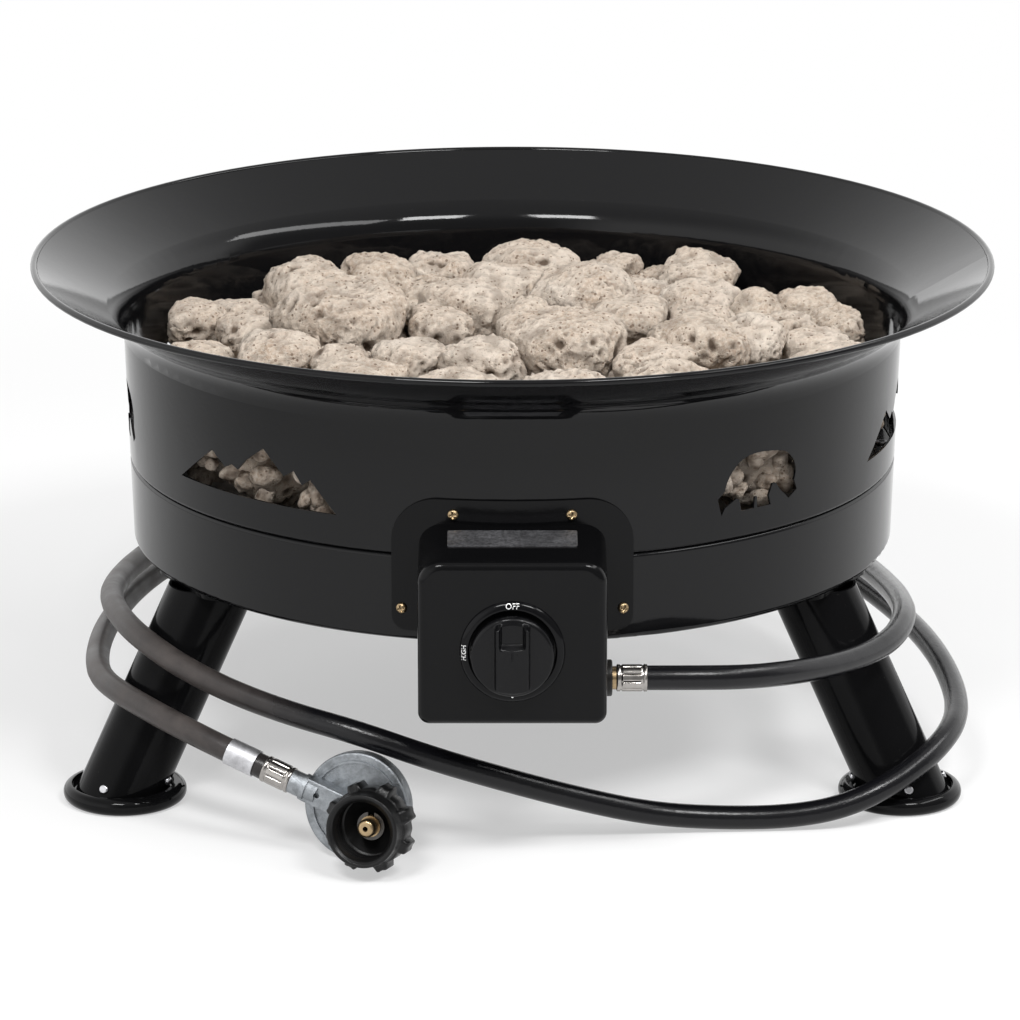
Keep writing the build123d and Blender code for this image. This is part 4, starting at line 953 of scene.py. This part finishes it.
def roughen(mesh, offset, grade, crag=0.5):
    # Moves the skin by lumps and pits, and returns for each point the depth of painted shade from pits,
    # cracks and creases
    s = rockSet
    crease, broken, crags, crowds, least = s["crease"], s["broken"], s["crags"], s["crowd"], s["least"]
    paintedShadeDepths, moved = [], []
    for vert in mesh.vertices:
        here = vert.co + offset
        out = low = 0.0
        for scale, size in s["lumps"]:
            lift = noise.noise(here * scale)
            out += lift * size * grade
            if scale > crease["above"]:
                low += max(0.0, -lift - crease["less"])
        rift = noise.noise(here * broken["scale"] + Vector(broken["shift"])) * broken["gain"]
        rift = min(1.0, max(0.0, rift + crag * broken["crag"] - broken["less"]))
        ridge = 1 - abs(noise.noise(here * crags["scale"])) * crags["fold"]
        out += (ridge - crags["level"]) * crags["size"] * rift * grade
        # Cracks, creases and pits give each point a depth of painted shade
        crack = rift * max(0.0, crags["crack"] - ridge) * crags["dark"]
        deep = max(crack, min(crease["most"], low * crease["share"]))
        crowd = noise.noise(here * crowds["scale"]) * crowds["gain"] + crowds["level"] + crowds["crag"] * crag
        for scale, reach, depth in s["pits"]:
            near = noise.voronoi(here * scale)[0][0]
            bowl = softStep(1 - near / max(least["reach"], reach * (least["wide"] + crowd)))
            out -= depth * grade * bowl * (least["deep"] + crowd)
            deep = max(deep, bowl * (least["dark"] + crowd))
        moved.append(vert.co + vert.normal * out)
        paintedShadeDepths.append(deep)
    for vert, co in zip(mesh.vertices, moved):
        vert.co = co
    return paintedShadeDepths


def randomShift(chance, reach=3):
    return Vector([chance.uniform(-reach, reach) for _ in range(3)])


def addStones(name, node, rocks):
    # One piece made of (mesh, tone, painted shade depth of each point) for each rock
    points, faces, tones, pits = [], [], [], []
    for mesh, tone, paintedShadeDepths in rocks:
        start = len(points)
        points += [v.co[:] for v in mesh.vertices]
        faces += [[start + i for i in p.vertices] for p in mesh.polygons]
        tones += [tone] * len(mesh.vertices)
        pits += paintedShadeDepths
    whole = meshFrom(name, points, faces)
    # The pit attribute is painted shade: it darkens the rock's colour in pits, cracks and creases
    for label, values in (("rockTone", tones), ("rockPaintedShade", pits)):
        attribute = whole.attributes.new(label, "FLOAT", "POINT")
        attribute.data.foreach_set("value", values)
    piece = newPiece(name, whole, finishes["lava_rock"])
    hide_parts(node)
    print(name, len(whole.polygons), "faces")


def addRocks(node):
    s, sink = rockSet[node], rockSet["sink"]
    chance = random.Random(rockSet["seed"])
    grown = []
    for points, faces in cadSolids(node):
        middle = sum(points, Vector()) / len(points)
        drop = sink["depth"] * softStep((middle.y - sink["front"]) / (sink["back"] - sink["front"]))
        mesh = roundedRock([p - Vector((0, 0, drop)) for p in points], faces, s["voxel"], s["swell"])
        offset = randomShift(chance)
        grown.append((mesh, chance.random(), roughen(mesh, offset, 1.0, chance.random())))
    share = math.ceil(len(grown) / s["pieces"])
    for k in range(s["pieces"]):
        name = node.replace("lava_rocks_", "lavaRocks_") + "_" + str(k + 1)
        addStones(name, node, grown[k * share:(k + 1) * share])


addRocks("lava_rocks_top")
addRocks("lava_rocks_bed")


# Chips of rock: some in the hollows of the heap, others close behind the cut-outs

chipSet = {
    "heap": {"count": 36, "reach": 0.205, "step": 0.006, "around": 4, "drop": 0.014, "seenFrom": 0.6,
             "above": 0.225, "lift": 0.1, "size": (0.0030, 0.0055), "voxel": 0.0012, "shade": None},
    # The wall chips' shade is painted shade, added to their pit depth
    "wall": {"places": (39, 79, 119, 159, 199, 239, 279, 319), "spread": 20, "count": 32,
             "reach": 0.2422, "behind": 1.4, "deep": 0.006, "height": (0.200, 0.242),
             "size": (0.0055, 0.0095), "voxel": 0.0017, "shade": (0.12, 0.5)},
    "stretch": (0.75, 1.25),
    "lump": {"height": 0.55, "scale": 0.9},
    "grade": 0.45,
    "seed": 5,
}


def chipMesh(chance, middle, size):
    shape = bmesh.new()
    bmesh.ops.create_icosphere(shape, subdivisions=2, radius=size)
    stretch = Vector([chance.uniform(*chipSet["stretch"]) for _ in range(3)])
    offset = randomShift(chance)
    s = chipSet["lump"]
    for vert in shape.verts:
        lump = 1 + s["height"] * noise.noise(vert.co * (s["scale"] / size) + offset)
        vert.co = Vector([c * more for c, more in zip(vert.co, stretch)]) * lump
    turn = Matrix.Rotation(chance.uniform(0, math.tau), 3, randomShift(chance, 1).normalized())
    points = [middle + turn @ v.co for v in shape.verts]
    faces = [[v.index for v in f.verts] for f in shape.faces]
    shape.free()
    return points, faces


def heapHollows(s):
    # Places where the heap, seen from above, lies well below what is round it
    graph = bpy.context.evaluated_depsgraph_get()
    n = int(s["reach"] / s["step"])
    tops = {}
    for i in range(-n, n + 1):
        for j in range(-n, n + 1):
            x, y = i * s["step"], j * s["step"]
            if math.hypot(x, y) < s["reach"]:
                start = Vector((x, y, s["seenFrom"]))
                hit, spot, *_ = scene.ray_cast(graph, start, Vector((0, 0, -1)))
                if hit:
                    tops[i, j] = spot.z
    k = s["around"]
    for (i, j), z in sorted(tops.items()):
        near = [tops.get((i + a, j + b), 0) for a in range(-k, k + 1) for b in range(-k, k + 1)]
        if max(near) - z > s["drop"] and z > s["above"]:
            yield Vector((i * s["step"], j * s["step"], z))


def heapPlaces(chance, s):
    hollows = list(heapHollows(s))
    chance.shuffle(hollows)
    for spot in hollows[:s["count"]]:
        size = chance.uniform(*s["size"])
        yield spot + Vector((0, 0, size * s["lift"])), size


def wallPlaces(chance, s):
    for azimuth in s["places"]:
        for _ in range(s["count"]):
            a = math.radians(azimuth + chance.uniform(-s["spread"], s["spread"]))
            size = chance.uniform(*s["size"])
            r = s["reach"] - s["behind"] * size - chance.uniform(0, s["deep"])
            yield Vector((r * math.sin(a), -r * math.cos(a), chance.uniform(*s["height"]))), size


def addChips(s):
    # Those behind the wall are darker by painted shade added to their pit depth
    chance = random.Random(s["seed"])
    chips = {"heap": list(heapPlaces(chance, s["heap"])), "wall": list(wallPlaces(chance, s["wall"]))}
    for kind, places in chips.items():
        voxel, shades = s[kind]["voxel"], s[kind]["shade"]
        grown = []
        for middle, size in places:
            shade = chance.uniform(*shades) if shades else 0.0
            mesh = roundedRock(*chipMesh(chance, middle, size), voxel, 1.0)
            offset = randomShift(chance)
            paintedShadeDepths = roughen(mesh, offset, s["grade"])
            grown.append((mesh, chance.random(), [min(1.0, d + shade) for d in paintedShadeDepths]))
        addStones("lavaRocks_" + kind, "lava_rocks_top", grown)


addChips(chipSet)


# Studio: a pale floor, white behind and to the left, three soft boxes above the front and right

studioSet = {
    "floorReach": 7.0,
    "floorColor": (0.84, 0.84, 0.84),
    "floorRoughness": 0.9,
    "floorShine": 0.1,
    "floorGlow": 0.46,
    "whiteBehind": (0.45, 1.2),
    "whiteLeft": (-0.55, -1.1),
    "fill": 0.6,
    "front": 0.3,
    "behind": 1.6,
    "above": 0.75,
    "skyBehind": (-0.15, 0.3),
    "skyLeft": (0.0, -0.7),
    "skyAbove": (0.35, 0.85),
    "aim": (0.0, 0.0, 0.2),
    "lamps": [
        {"name": "tallLeft", "heading": -19, "lift": 47, "away": 2.9, "wide": 0.8, "tall": 0.5, "power": 42},
        {"name": "tallRight", "heading": 30, "lift": 47, "away": 2.9, "wide": 0.8, "tall": 0.5, "power": 40},
        {"name": "sideRight", "heading": 82, "lift": 47, "away": 2.9, "wide": 2.6, "tall": 0.5, "power": 33},
    ],
}


def addLamp(lamp, aim):
    data = bpy.data.lights.new(lamp["name"], "AREA")
    data.shape = "RECTANGLE"
    data.size = lamp["wide"]
    data.size_y = lamp["tall"]
    data.energy = lamp["power"]
    heading, lift = math.radians(lamp["heading"]), math.radians(lamp["lift"])
    way = Vector((math.sin(heading) * math.cos(lift), -math.cos(heading) * math.cos(lift), math.sin(lift)))
    light = bpy.data.objects.new(lamp["name"], data)
    light.location = Vector(aim) + way * lamp["away"]
    light.rotation_euler = (-way).to_track_quat("-Z", "Y").to_euler()
    scene.collection.objects.link(light)


def seenRays(tree):
    # 1 for what the camera sees, straight, in a reflection or through glass
    ray = tree.nodes.new("ShaderNodeLightPath").outputs
    seen = combine(tree, "MAXIMUM", ray["Is Camera Ray"], ray["Is Glossy Ray"])
    return combine(tree, "MAXIMUM", seen, ray["Is Transmission Ray"])


def smoothRamp(tree, source, span, ends=(0.0, 1.0)):
    return ramp(tree, source, span, ends, "SMOOTHSTEP")


def addFloor(s):
    r = s["floorReach"]
    mesh = meshFrom("floor", [(-r, -r, 0), (r, -r, 0), (r, r, 0), (-r, r, 0)], [(0, 1, 2, 3)])
    floor = bpy.data.objects.new("floor", mesh)
    scene.collection.objects.link(floor)
    material, tree, shader = newMaterial("paleFloor", s["floorColor"], s["floorRoughness"])
    shader.inputs["Specular IOR Level"].default_value = s["floorShine"]
    split = onObject(tree, "ShaderNodeSeparateXYZ").outputs
    behind = smoothRamp(tree, split["Y"], s["whiteBehind"])
    left = smoothRamp(tree, split["X"], s["whiteLeft"])
    far = combine(tree, "MAXIMUM", combine(tree, "MAXIMUM", behind, left), s["floorGlow"])
    mix = tree.nodes.new("ShaderNodeMixShader")
    glow = tree.nodes.new("ShaderNodeEmission")
    tree.links.new(combine(tree, "MULTIPLY", far, seenRays(tree)), mix.inputs[0])
    tree.links.new(shader.outputs[0], mix.inputs[1])
    tree.links.new(glow.outputs[0], mix.inputs[2])
    tree.links.new(mix.outputs[0], tree.nodes["Material Output"].inputs["Surface"])
    mesh.materials.append(material)


def addWorld(s):
    world = bpy.data.worlds.new("studio")
    scene.world = world
    world.use_nodes = True
    tree = world.node_tree
    where = addNode(tree, "ShaderNodeTexCoord")
    split = addNode(tree, "ShaderNodeSeparateXYZ", [("Vector", where.outputs["Generated"])]).outputs
    behind = smoothRamp(tree, split["Y"], s["skyBehind"])
    left = smoothRamp(tree, split["X"], s["skyLeft"])
    around = smoothRamp(tree, combine(tree, "MAXIMUM", behind, left), (0.0, 1.0), (s["front"], s["behind"]))
    seen = mixValues(tree, smoothRamp(tree, split["Z"], s["skyAbove"]), around, s["above"])
    back = tree.nodes["Background"]
    tree.links.new(mixValues(tree, seenRays(tree), s["fill"], seen), back.inputs["Strength"])
    back.inputs["Color"].default_value = (1, 1, 1, 1)


addFloor(studioSet)
addWorld(studioSet)
for lamp in studioSet["lamps"]:
    addLamp(lamp, studioSet["aim"])
scene.view_settings.view_transform = "Standard"
print("studio set")
